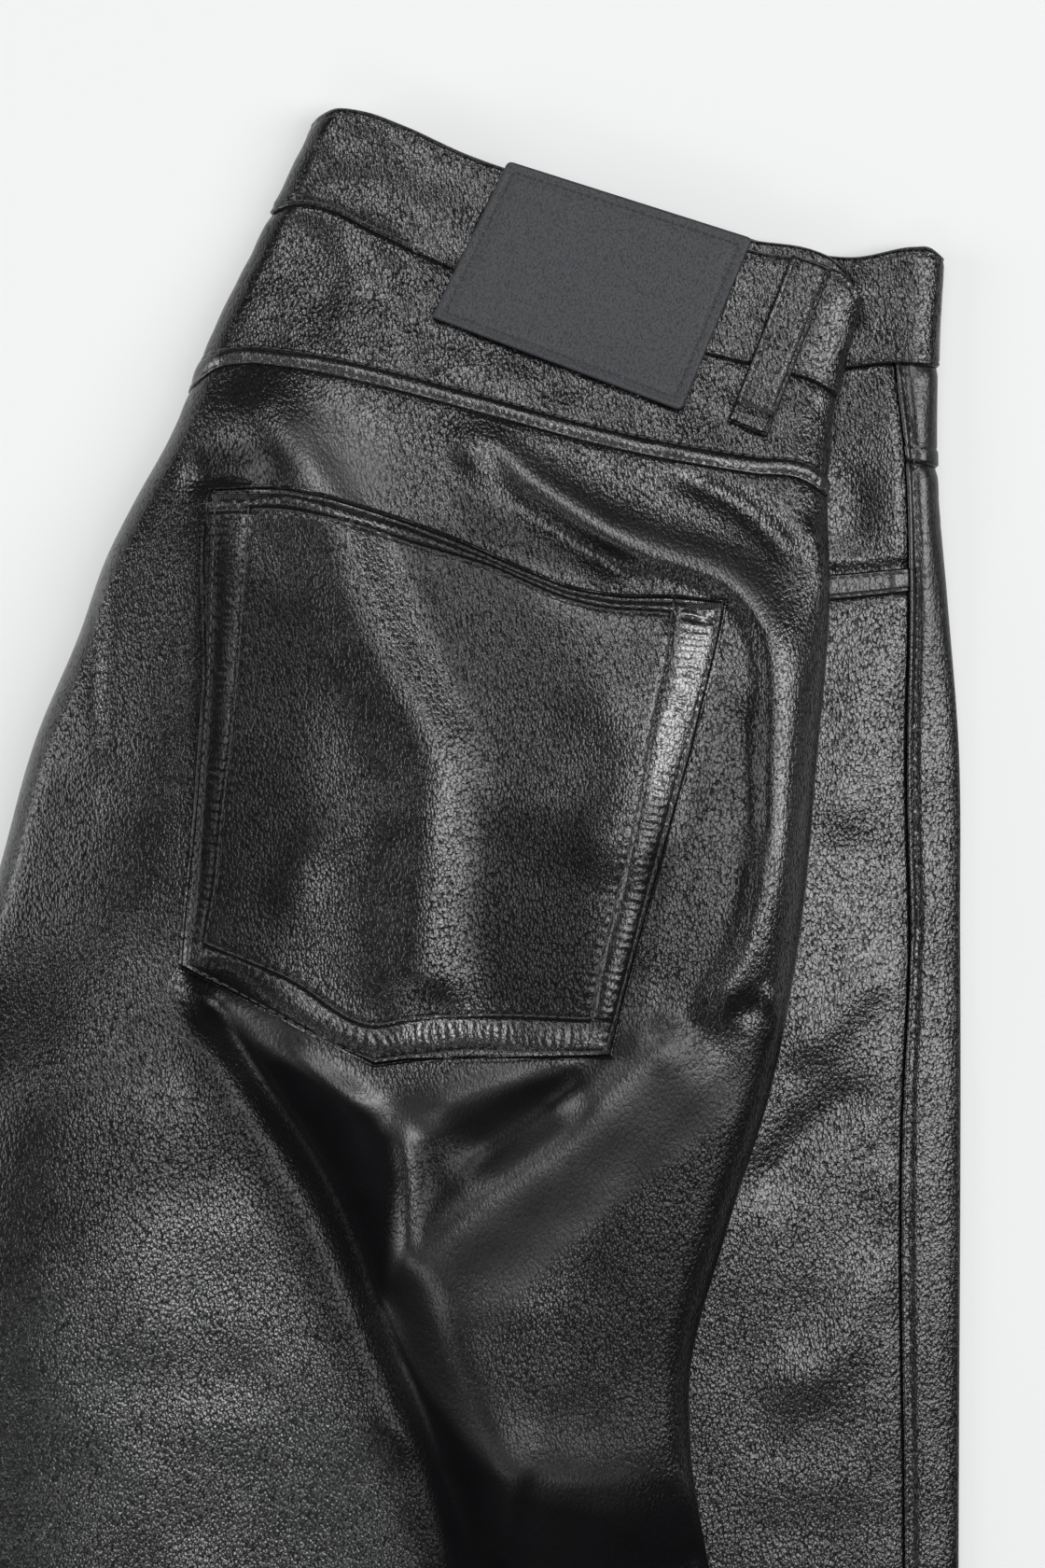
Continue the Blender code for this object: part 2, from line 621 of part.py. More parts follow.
def left_front_columns():
    """From the centre seam inside the fold, or below the crotch from the inseam, to the side seam."""
    leg = tucked(LEFT_LEG, FRONT_TUCK)
    mouth = lambda down: MOUTH_FROM + 0.0 * down
    columns = edge_columns(leg, -1, MEETING_TURN, UP, 4)
    columns += face_columns(leg.left_end, mouth, 6)
    return columns + mouth_columns()


def mouth_columns():
    mouth = lambda down: MOUTH_FROM + 0.0 * down
    return face_columns(mouth, lambda down: SIDE_SEAM(down) - SEAM, 6, (True, True))


def left_front_middle(grid, top, bottom):
    joined = JOINED(grid.down)
    return joined * (top - 1.0) + (1 - joined) * top / 2


LEFT_LEG_LINES = lines_between(level(UNDER_YOKE), level(PARTING_FROM), 10)
LEFT_LEG_LINES += lines_between(level(PARTING_FROM), level(PARTING_TO), 3)[1:]
LEFT_LEG_LINES += lines_between(level(PARTING_TO), level(KNEE), 6)[1:]
LEFT_LEG_LINES += lines_between(level(KNEE), level(LEFT_HEM_DOWN - HEM_HEIGHT - SEAM), 7)[1:]


def build_left_leg(material):
    columns = left_back_columns()
    lines = lines_between(LEFT_WAIST_SEAM, LEFT_YOKE_SEAM, 2, (SEAM, SEAM))
    yoke = Grid(LEFT_LEG, lines, columns, left_middle)
    add_wall("yoke_left", yoke.points(), yoke.points(LEATHER), material)
    upper = lines_between(LEFT_YOKE_SEAM, level(UNDER_YOKE), 3, (SEAM, 0), with_last=False)
    lines = upper + LEFT_LEG_LINES
    back = Grid(LEFT_LEG, lines, columns, left_middle)
    add_wall("back_panel_left", back.points(), back.points(LEATHER), material)
    upper = lines_between(PANEL_TOP, level(UNDER_YOKE), 3, (SEAM, 0), with_last=False)
    lines = upper + LEFT_LEG_LINES
    front = Grid(LEFT_LEG, lines, left_front_columns(), left_front_middle)
    add_wall("front_panel_left", front.points(), front.points(LEATHER), material)


def build_front_pocket(material):
    """The left front pocket: its turned and stitched mouth, and the facing that shows above it."""
    lines = lines_between(LEFT_WAIST_SEAM, POCKET_MOUTH, 4, (SEAM, SEAM))
    facing = Grid(LEFT_LEG, lines, mouth_columns())
    add_wall("pocket_facing_left", facing.points(FACING_DEPTH), facing.points(LEATHER), material)
    lines = lines_between(POCKET_MOUTH, PANEL_TOP, 2, (SEAM, SEAM))
    mouth = Grid(LEFT_LEG, lines, mouth_columns())
    add_wall("pocket_mouth_left", mouth.points(-MOUTH_STAND), mouth.points(LEATHER), material)


def build_left_hidden_layers(material):
    """The pocket bags between the left leg's front and back panels: one rounded solid."""
    inside = LEATHER + CLEAR
    turn = 55.0
    lines = [hidden_start, level(150)] + LEFT_LEG_LINES
    lines[-1] = level(LEFT_HEM_DOWN - HEM_HEIGHT - SEAM)
    leg = tucked(LEFT_LEG, FRONT_TUCK - LEATHER)
    left_face = lambda down: leg.left_end(down) + 4.0
    right_face = lambda down: leg.right_end(down) - 4.0
    parts = (
        edge_columns(leg, -1, -turn, turn, 3),
        face_columns(left_face, right_face, 7, (True, True)),
        edge_columns(leg, 1, turn, -turn, 3),
        face_columns(right_face, left_face, 7, (True, True), DOWN),
    )
    rings = []
    for columns in parts:
        grid = Grid(leg, lines, columns)
        grid.height -= ROOF_CLEAR * np.maximum(grid.up, 0)
        rings.append(grid.points(inside))
    add_filled("hidden_layers_left", np.concatenate(rings, axis=1), material)


# ---- The waistband, patch and belt loop ----


def hidden_waist(across):
    """The left leg's waist, which stays out of sight behind the right one until it comes near the side."""
    held = WAIST_TUCK - WAIST_RELEASE * smooth((across - RELEASE_FROM) / RELEASE_OVER)
    return np.maximum(LEFT_WAIST(across), RIGHT_WAIST(across) + held)


def build_waistband(material):
    """One closed band that runs over four layers: right back, right front, left front and left back."""
    right_lines = lines_between(RIGHT_WAIST, RIGHT_WAIST_SEAM, 2, (0, SEAM))
    front_lines = lines_between(lambda a: RIGHT_WAIST(a) - WAIST_STEP(a), RIGHT_WAIST_SEAM, 2, (0, SEAM))
    left_lines = lines_between(hidden_waist, LEFT_WAIST_SEAM, 2, (0, SEAM))
    centre = lambda down: BACK_FOLD(down) + FRONT_TUCK + BAND
    seam_side = lambda down: SIDE_SEAM(down) - SEAM
    right_back = right_columns()
    right_front = edge_columns(RIGHT_LEG, 1, -55.0, DOWN, 2)
    right_front += face_columns(RIGHT_LEG.right_end, centre, 12, (False, True), DOWN)
    left_front = face_columns(centre, lambda down: MOUTH_FROM + 0.0 * down, 6, (True, False))
    left_front += mouth_columns() + left_back_columns()[:5]
    left_back = left_back_columns()[5:]
    grids = [
        Grid(RIGHT_LEG, right_lines, right_back, right_middle),
        Grid(RIGHT_LEG, front_lines, right_front, right_middle),
        centre_fold(Grid(LEFT_LEG, left_lines, [Column(centre)] * 3)),
        Grid(LEFT_LEG, left_lines, left_front, left_middle),
        Grid(LEFT_LEG, left_lines, left_back, left_middle),
    ]
    outer = np.concatenate([grid.points() for grid in grids], axis=1)
    inner = np.concatenate([grid.points(BAND) for grid in grids], axis=1)
    add_wall("waistband", outer, inner, material, ring=True)


def centre_fold(grid):
    """The sharp inward fold at the centre front, where the band turns from the right leg down to the left."""
    turn = np.radians([-50.0, 0.0, 50.0]) + 0 * grid.across
    grid.side = np.ones_like(turn)
    grid.out, grid.up = np.cos(turn), np.sin(turn)
    grid.across = grid.across - grid.out
    middle = (right_bottom(grid.across, grid.down) + left_top(grid.across, grid.down)) / 2
    grid.height = middle - grid.up * LAYER_GAP / 2
    return grid


def patch_plan(corners, columns, rows):
    """Plan points over four corners: top left, top right, bottom right, bottom left."""
    top_left, top_right, bottom_right, bottom_left = (np.array(c, float) for c in corners)
    u, v = np.linspace(0, 1, columns), np.linspace(0, 1, rows)[:, None]
    return [
        (1 - v) * ((1 - u) * top_left[k] + u * top_right[k])
        + v * ((1 - u) * bottom_left[k] + u * bottom_right[k])
        for k in (0, 1)
    ]


PATCH_CORNERS = ((155.6, 49.5), (230.4, 73.2), (208.4, 126.2), (132.2, 97.6))
LOOP_TOP, LOOP_BOTTOM = (248.6, 81.0), (228.6, 131.8)


def build_patch(material):
    """A plain stiff leather patch, sewn over the waistband and the yoke."""
    across, down = patch_plan(PATCH_CORNERS, 9, 7)
    height = right_top(across, down) + PATCH_LIFT
    outer = frame_points(across, down, height + PATCH_THICKNESS)
    add_wall("back_patch", outer, frame_points(across, down, height), material)


def build_belt_loop(material):
    """A folded strip, fixed at the waist edge and below the waist seam, lying close over the waistband."""
    along = np.array(LOOP_BOTTOM) - np.array(LOOP_TOP)
    square = np.array([-along[1], along[0]]) / np.hypot(*along)
    share, offset = np.linspace(0, 1, 9)[:, None], np.linspace(0.5, -0.5, 4) * LOOP_WIDTH
    across = LOOP_TOP[0] + share * along[0] + offset * square[0]
    down = LOOP_TOP[1] + share * along[1] + offset * square[1]
    turn = np.clip((RIGHT_SIDE(down) - across) / RIGHT_LEG.right_round(down), 0, 1)
    high, low = right_top(across, down), right_bottom(across, down)
    surface = (high + low) / 2 + np.sqrt(1 - (1 - turn) ** 2) * (high - low) / 2
    height = surface + LOOP_LIFT + LOOP_ARCH * np.sin(math.pi * share)
    outer = frame_points(across, down, height + LEATHER)
    add_wall("belt_loop_side", outer, frame_points(across, down, height), material)


def clear_scene():
    for item in list(bpy.data.objects):
        bpy.data.objects.remove(item, do_unlink=True)


def main():
    clear_scene()
    black = leather("black_leather", LEATHER_BLACK, 0.42)
    matt = leather("matt_black_leather", PATCH_BLACK, 0.55)
    build_right_back(black)
    build_right_hidden_layers(black)
    add_hem("hem_right", RIGHT_LEG, RIGHT_HEM_DOWN, black)
    build_left_leg(black)
    build_front_pocket(black)
    build_left_hidden_layers(black)
    add_hem("hem_left", LEFT_LEG, LEFT_HEM_DOWN, black)
    build_waistband(black)
    build_patch(matt)
    build_belt_loop(black)


main()
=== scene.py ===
"""The looks of the folded leather trousers: thin leather shells with their creases, seams, stitching and grain.

Plan coordinates are in millimetres: "across" grows to the right and "down" from the waist to the hems, as in the
CAD's source, whose curves and thicknesses this script repeats. Heights are above the floor.
"""

import copy
import math

import bpy
import numpy as np
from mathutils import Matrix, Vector
from mathutils.bvhtree import BVHTree


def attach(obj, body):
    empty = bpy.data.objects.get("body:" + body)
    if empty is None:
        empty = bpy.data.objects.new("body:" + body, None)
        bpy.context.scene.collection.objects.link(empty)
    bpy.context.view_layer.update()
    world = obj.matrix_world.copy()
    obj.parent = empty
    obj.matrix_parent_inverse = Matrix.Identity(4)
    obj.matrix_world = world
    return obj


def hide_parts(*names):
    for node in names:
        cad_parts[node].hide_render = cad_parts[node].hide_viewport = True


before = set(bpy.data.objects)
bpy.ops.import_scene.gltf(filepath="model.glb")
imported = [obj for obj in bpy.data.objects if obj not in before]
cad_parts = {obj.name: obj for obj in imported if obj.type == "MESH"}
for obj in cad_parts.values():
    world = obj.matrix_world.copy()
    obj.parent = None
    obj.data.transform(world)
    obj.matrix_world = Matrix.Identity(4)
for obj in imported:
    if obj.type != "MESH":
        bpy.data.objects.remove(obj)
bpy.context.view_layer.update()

MM = 0.001
CENTRE_ACROSS = 128.7
CENTRE_DOWN = 583.8

# The photograph: its centre in plan, and its height on the garment.
VIEW_ACROSS, VIEW_DOWN = 160.0, 240.0
VIEW_HEIGHT = 480.0
VIEW_LEVEL = 20.0  # the level at which that scale holds
VIEW_END = 486.0  # below this the leather is out of the photograph, and its mesh is coarser
CAMERA_DISTANCE = 2.4  # in metres

# Sizes, in millimetres.
LEATHER = 2.0
BAND = 3.0
LAYER_GAP = 1.0
HEM_HEIGHT = 26.0
RIGHT_HEM_DOWN = 1113.0
LEFT_HEM_DOWN = 1134.0
FRONT_TUCK = 8.0
POCKET_STAND = 1.3
PATCH_WIDTH, PATCH_HEIGHT, PATCH_THICKNESS = 78.0, 56.0, 2.2
PATCH_LIFT = 1.1
PATCH_CORNER_ROUND = 1.6
PATCH_EDGE_ROUND = 0.9
LOOP_WIDTH = 13.0
WAIST_ROLL = BAND / 2
RIM, RIM_START = 1.5, 0.4  # how far a panel's edge turns in at a seam, and where the turn starts

# Rows of stitches: their pitch, and how far they lie from an edge.
STITCH_PITCH = 3.3
EDGE_ROW = 1.1
YOKE_BAND = 5.3  # between the yoke's two rows
YOKE_BAND_LEFT = 5.6
POCKET_EDGE_ROW = 2.2
WAIST_ROW, WAIST_TOP_ROW = 1.6, 2.3
SIDE_ROW = 2.4
SEAM_STITCHED_TO = 286.0  # the side seam's topstitching ends here
PATCH_ROW = 3.1
LOOP_ROW = 1.9
LOOP_TURN_UP = 7.4  # from the belt loop's lower end to its bar tack
HEM_ROW = 22.0

STEP = 1.0


# ---- Curves ----


def curve(*rows):
    """A smooth curve through (place, value) rows, level beyond its ends."""
    place, value = np.array(rows, float).T
    slope = np.gradient(value, place)

    def at(p):
        p = np.clip(np.asarray(p, float), place[0], place[-1])
        i = np.clip(np.searchsorted(place, p) - 1, 0, len(place) - 2)
        step = place[i + 1] - place[i]
        t = (p - place[i]) / step
        rise = value[i + 1] - value[i]
        start, end = slope[i] * step, slope[i + 1] * step
        return value[i] + t * (start + t * (3 * rise - 2 * start - end + t * (start + end - 2 * rise)))

    return at


def smooth(t):
    t = np.clip(t, 0.0, 1.0)
    return t * t * (3 - 2 * t)


def level(down):
    return lambda across: np.full(np.shape(across), float(down))


def moved(line, shift):
    return lambda place: line(place) + shift


# The outline from above. Rows: down, across.
SHARED_FOLD = (
    (20, 103), (35, 96.6), (63, 83.6), (100, 65.3), (135, 51), (153, 41), (170, 32.5), (194, 24),
    (225, 11), (264, 0), (310, -13), (360, -28), (405, -36),
)
BACK_FOLD = curve(
    *SHARED_FOLD, (450, -38), (520, -33), (620, -22), (760, -10), (920, -2), (1114, 4),
)
RIGHT_SIDE = curve(
    (20, 281), (60, 272), (91, 264), (123, 256), (148, 253.7), (185, 254), (233, 250), (284, 245),
    (331, 236.5), (378, 222), (419, 211.4), (442, 211.4), (479, 217), (520, 224), (580, 232),
    (650, 238), (750, 242), (900, 246), (1114, 250),
)
LEFT_INSEAM = curve(
    *SHARED_FOLD, (450, -30), (500, -12), (560, 5), (650, 20), (760, 30), (920, 38), (1135, 44),
)
LEFT_SIDE = curve(
    (60, 290), (76, 289.4), (110, 288), (148, 288), (184, 291), (228, 294.5), (287, 295),
    (480, 294.5), (700, 294), (1000, 292), (1135, 290),
)
SIDE_SEAM = curve(
    (70, 274), (111, 274.6), (135, 277.4), (176, 279), (240, 278.3), (288, 279.4), (342, 277.1),
    (480, 277.7), (700, 276), (1135, 272),
)
POCKET_LEFT = curve(
    (20, 116), (63, 100), (112, 78), (149.4, 64.4), (211, 62.6), (249, 60), (296, 55.7),
    (350, 54), (430, 62), (520, 74), (760, 78), (1114, 70),
)
POCKET_RIGHT = curve(
    (60, 232), (112, 226), (150, 223.5), (184, 222.4), (220, 214.4), (266, 202), (323.4, 187),
    (380, 176), (440, 166), (520, 168), (620, 178), (760, 184), (1114, 186),
)

# Lines across the garment. Rows: across, down.
RIGHT_WAIST = curve(
    (70, 40), (96.6, 34.6), (101.7, 33), (110.6, 33.7), (123.7, 38.3), (141, 46.3), (177, 58.6),
    (200, 67), (231, 76.6), (255, 81.7), (260, 84.5), (264, 91),
)
RIGHT_WAIST_SEAM = curve(
    (70, 72), (82.6, 65), (93, 62.8), (101.7, 65), (114.9, 71.7), (138.6, 82.6), (180, 97),
    (217.4, 108.9), (241.9, 114.7), (250, 117.5), (257, 122),
)
LEFT_WAIST = curve(
    (70, 40), (96.6, 34.6), (110, 35), (141, 45), (180, 57), (220, 69), (245, 76), (262, 77.9),
    (281, 74.8), (286, 75), (289.4, 77),
)
LEFT_WAIST_SEAM = curve(
    (70, 72), (82.6, 65), (93, 63), (130, 78), (180, 95), (220, 107), (245, 111.5), (259.7, 112.3),
    (273, 110.9), (288, 111.9),
)
RIGHT_YOKE_SEAM = curve(
    (50, 124), (58, 118.9), (66, 113.4), (75.4, 111.7), (87.9, 112.9), (117, 118.9), (146, 126.6),
    (186.6, 137.4), (208.5, 141.9), (230.3, 145.4), (247, 148), (253, 152),
)
LEFT_YOKE_SEAM = curve((50, 120), (120, 128), (200, 136), (278, 141), (289, 143))
POCKET_TOP = curve(
    (30, 147), (64.4, 149.4), (88.6, 149.4), (113.4, 155.7), (138.3, 164.3), (160, 173.7),
    (175, 179.6), (189, 182), (206, 182.4), (222.4, 184), (254, 188),
)
POCKET_BOTTOM = ((-20, 280), (55.7, 295.7), (115, 326), (125, 324.6), (187, 323.4), (250, 322))
PANEL_TOP = curve(
    (70, 72.6), (93, 64), (130, 79), (180, 96), (194, 101.5), (201, 128), (208, 160), (215, 176),
    (225, 183), (240, 184), (255, 183.4), (279, 181),
)
POCKET_MOUTH = curve((200, 150), (215, 166), (225, 174), (240, 176), (255, 175.6), (279, 173.5))
# The right front's waistband shows past the right back's only near the side. Rows: across, distance.
WAIST_STEP = curve((60, -1.0), (205, -1.0), (226, 3.2), (240, 4.0), (255, 3.4), (264, 3.0))

# Thickness of each leg when flat. Rows: distance below the waist, thickness.
RIGHT_THICKNESS = curve(
    (0, 9.8), (40, 11), (80, 14), (140, 17.5), (360, 18), (450, 17), (700, 15), (1000, 11), (1080, 9.6)
)
LEFT_THICKNESS = curve(
    (0, 9.4), (40, 10.4), (80, 13), (140, 15), (360, 15.5), (450, 14), (700, 12), (1000, 10), (1080, 9.4)
)
CROWN = curve((0, 0.3), (50, 1.2), (110, 4.6), (360, 5.2), (480, 3.5), (1000, 1), (1080, 0.2))
SHOULDER = curve((0, 1.5), (60, 4), (120, 6.0), (240, 6.0), (330, 3.0), (450, 1), (1080, 0.2))
SHOULDER_WIDTH = 50  # from the back fold to where the upper face grows level
# How far the left leg's upper face leans to the side seam, as a slope. Rows: down, slope.
LEFT_FALL = curve(
    (0, -0.05), (150, -0.03), (185, 0.07), (230, 0.15), (310, 0.15), (350, 0.12), (600, 0.1), (900, 0.03),
    (1050, 0), (1140, 0),
)
FALL_START = 10.0  # how far inside the right leg's edge that lean begins
CROWN_POWER = 3.4  # the crown is flat in the middle and falls towards both edges
# Width of the rounded edges seen from above. Rows: distance below the waist, width.
FOLD_ROUND = curve((0, 6), (60, 7), (150, 7.5), (380, 7), (470, 6.5), (1080, 6))
RIGHT_ROUND = curve((0, 13), (60, 12), (150, 10.5), (400, 10.5), (480, 9), (1080, 6))
LEFT_ROUND = curve((0, 8), (60, 8.5), (150, 10), (400, 9), (1080, 6))
# 1 where both legs share the back fold, 0 where they are two legs. Rows: down, share.
JOINED = curve((0, 1), (385, 1), (396, 1), (412, 0.6), (428, 0.25), (444, 0), (470, 0), (1140, 0))

UP, DOWN = 90.0, -90.0  # turns round an edge, in degrees: 0 points straight out of the side
SEAM_TURN = -25.0  # where the right leg's two panels meet at its edges
MEETING_TURN = 2.5  # and where the two legs' back panels meet at the back fold
# The right leg sinks to the floor beside the left leg's inseam: where that starts, and over what width.
DROOP_FROM, DROOP_OVER = 34.0, 26.0
TOP_DROOP_FROM, TOP_DROOP_OVER = 1.2 * DROOP_FROM, 2 * DROOP_OVER
FLOOR_LIFT = 0.4
MOUTH_FROM = 220.0  # the left front's strip that shows starts here, across
WAIST_TUCK = 1.0  # the left waist lies this far below the right one, where it is out of sight
WAIST_RELEASE = 30.0  # and is let go by this much near the side, where it shows
RELEASE_FROM, RELEASE_OVER = 205.0, 25.0
HIDDEN_SHARE = 0.4  # of the right leg's thickness is filled by its hidden layers
HIDDEN_CLEAR = 0.8  # above them
PATH_STEP = 4.0
FADE, FADE_LENGTH = 0.3, 18.0  # a crease fades at each end over this share of its length, at most this far
FOLD_REACH = 2.6  # half-widths beyond which a crease is too low to count


# ---- Lines on the leather: creases, seams and rows of stitching ----


class Path:
    """A smooth line in plan through (across, down) points."""

    def __init__(self, points, step=2.0):
        knots = np.array(points, float)
        chord = np.concatenate([[0], np.cumsum(np.hypot(*np.diff(knots, axis=0).T))])
        place = np.linspace(0, chord[-1], max(3, int(round(chord[-1] / step)) + 1))
        self.points = np.stack([curve(*zip(chord, knots[:, k]))(place) for k in (0, 1)], axis=-1)
        self.lengths = np.hypot(*np.diff(self.points, axis=0).T)
        self.starts = np.concatenate([[0], np.cumsum(self.lengths)])
        self.length = self.starts[-1]

    def near(self, across, down, reach):
        """Which points lie within reach, with their signed distance from the line and their place along it.

        The distance is positive to the right of someone walking along the line, seen with down pointing down.
        """
        low, high = self.points.min(0) - reach, self.points.max(0) + reach
        found = (across > low[0]) & (across < high[0]) & (down > low[1]) & (down < high[1])
        plan = np.stack([across[found], down[found]], axis=-1)
        best = np.full(len(plan), 1e9)
        signed, along = np.zeros(len(plan)), np.zeros(len(plan))
        for k, length in enumerate(self.lengths):
            unit = (self.points[k + 1] - self.points[k]) / length
            offset = plan - self.points[k]
            share = np.clip(offset @ unit, 0, length)
            rest = offset - share[:, None] * unit
            distance = np.hypot(rest[:, 0], rest[:, 1])
            side = np.where(unit[0] * offset[:, 1] - unit[1] * offset[:, 0] >= 0, 1.0, -1.0)
            closer = distance < best
            best = np.where(closer, distance, best)
            signed = np.where(closer, side * distance, signed)
            along = np.where(closer, self.starts[k] + share, along)
        return found, signed, along

    def at(self, place):
        """Points at distances along the line."""
        return np.stack([np.interp(place, self.starts, self.points[:, k]) for k in (0, 1)], axis=-1)


def noise(across, down, size, seed):
    """Smooth unevenness between -1 and 1, with swells about a size wide."""
    table = np.random.default_rng(seed).uniform(-1, 1, (61, 61))
    x, y = np.asarray(across) / size + 500, np.asarray(down) / size + 500
    i, j = np.floor(x).astype(int), np.floor(y).astype(int)
    u, v = smooth(x - i), smooth(y - j)
    a, b = table[i % 61, j % 61], table[(i + 1) % 61, j % 61]
    c, d = table[i % 61, (j + 1) % 61], table[(i + 1) % 61, (j + 1) % 61]
    return (a * (1 - u) + b * u) * (1 - v) + (c * (1 - u) + d * u) * v


def read_folds(*table):
    return [(Path(points, PATH_STEP), right, left, height) for points, right, left, height in table]


# Creases of the right leg's upper face. Columns: points (across, down), half-width on the right-hand side of the
# line and on its left-hand side, height (a trough is negative).
FOLDS = read_folds(
    (((54, 147), (70, 146), (84, 149)), 5, 6, -2.4),
    (((71, 112), (81, 127), (89, 138.6), (102.4, 160), (108, 176.6), (117, 200), (128, 219.4), (133, 238.6),
      (132.4, 257), (131, 280), (129.6, 300), (128, 314)), 14, 11, 3.8),
    (((135.7, 248), (114, 251), (98.6, 258.6), (91, 271), (87, 286)), 6, 6, 0.9),
    (((174, 172), (180, 196), (184, 212), (184, 232)), 12, 8, 1.2),
    (((205, 180), (202, 196), (199, 214), (196, 232), (192, 256), (187, 275)), 16, 8, 2.4),
    (((138, 134), (147, 140), (160, 153), (174, 163), (188.6, 173), (200, 178.6)), 4.5, 4.5, -2.4),
    (((138, 128), (144.3, 138), (156.6, 148), (168.6, 155), (183, 163.7), (197, 169), (211.4, 173),
      (223, 178.6), (230, 185.7), (235.4, 197), (237, 211.4), (236, 228.6), (235, 251.4), (233, 274),
      (229, 290), (222, 302), (210, 314)), 5, 9, 3.4),
    (((200, 144), (217, 150), (228.6, 157), (240, 168.6), (245.7, 178.6)), 4, 4, -1.7),
    (((244, 157), (250, 167), (252.6, 177), (252.4, 188)), 3.5, 3.5, 1.3),
    (((225.7, 210), (228, 235), (229.7, 253), (230, 268)), 6, 6, -1.8),
    (((224, 306), (228, 308), (233, 310)), 4, 4, -1.0),
    (((233, 300), (238, 310), (237, 322)), 3, 3, 1.5),
    (((60, 306), (86, 323), (103, 333), (121, 344)), 12, 5, 2.6),
    (((121, 338), (125, 352), (126, 366), (123, 383), (116, 400)), 5, 4, 2.2),
    (((122, 344), (134, 338), (151, 332), (171, 326), (186, 318)), 5, 8, 1.8),
    (((136, 358), (150, 350), (166, 340), (180, 330)), 8, 8, -3.2),
    (((214, 312), (196, 327), (179, 342), (156, 361), (139, 376), (120, 400)), 8, 14, 3.0),
    (((0, 280), (6, 315), (9, 350), (9, 390), (8, 430), (8, 480), (12, 530), (32, 600)), 60, 66, 14.0),
    (((57, 294), (72, 315), (88, 339), (102, 363), (112, 386), (119, 404), (131, 432), (141, 460), (148, 490),
      (156, 560)), 6, 10, -8.5),
    (((110, 430), (150, 447), (180, 451), (215, 449)), 6, 14, 1.2),
    (((128, 492), (150, 500), (180, 502), (212, 498), (250, 492)), 60, 36, -12.0),
    (((34, 168), (29.5, 190), (28, 215), (29, 245)), 9, 4.5, 1.3),
    (((60, 560), (100, 620), (140, 660), (180, 690)), 16, 16, 3.5),
    (((190, 600), (150, 680), (110, 715), (70, 740)), 12, 12, -2.5),
    (((40, 800), (110, 775), (160, 776), (210, 790)), 14, 14, 2.4),
    (((60, 860), (130, 900), (170, 950), (190, 1010)), 16, 16, 2.0),
)
# The same for the yoke and waistband, which show it less.
WAIST_FOLDS = read_folds(
    (((115, 58), (125, 75), (128, 100)), 6, 6, 1.0),
    (((95, 60), (100, 90), (98, 110)), 6, 6, -0.8),
)
# The same for the left leg's upper face.
LEFT_FOLDS = read_folds(
    (((255, 138), (262, 152), (258, 172)), 7, 7, -1.2),
    (((268, 190), (262, 230), (256, 262)), 9, 9, 1.2),
    (((240, 330), (262, 305), (274, 292)), 7, 7, 1.2),
    (((228, 372), (255, 340), (272, 330)), 7, 7, -1.4),
    (((230, 430), (252, 420), (270, 380)), 9, 9, 1.2),
    (((210, 520), (245, 560), (262, 640)), 12, 12, 1.4),
    (((268, 760), (255, 800), (262, 860)), 12, 12, -1.4),
)
# Where the leather is drawn smooth. Columns: points (across, down), half-widths as above, smoothness from 0 to 1.
SMOOTH_ZONES = read_folds(
    (((61, 296), (79, 322), (95, 345), (107, 372)), 4, 24, 1.1),
    (((111, 372), (120, 400), (134, 440), (147, 490)), 4, 16, 1.1),
    (((108, 336), (124, 342), (150, 332), (172, 326)), 6, 6, 1.0),
    (((140, 356), (156, 346), (176, 334)), 9, 9, 1.0),
    (((238, 316), (222, 336), (202, 352), (182, 368), (158, 392), (142, 420)), 46, 5, 1.2),
    (((140, 470), (170, 462), (200, 470)), 30, 30, 1.1),
    (((84, 123), (95, 135), (108, 147), (122, 157)), 12, 14, 1.0),
    (((146, 131), (161, 144), (190, 163), (219, 173), (241, 193)), 5, 8, 0.7),
    (((241, 193), (243, 212), (240, 243), (235, 284)), 7, 7, 0.35),
)
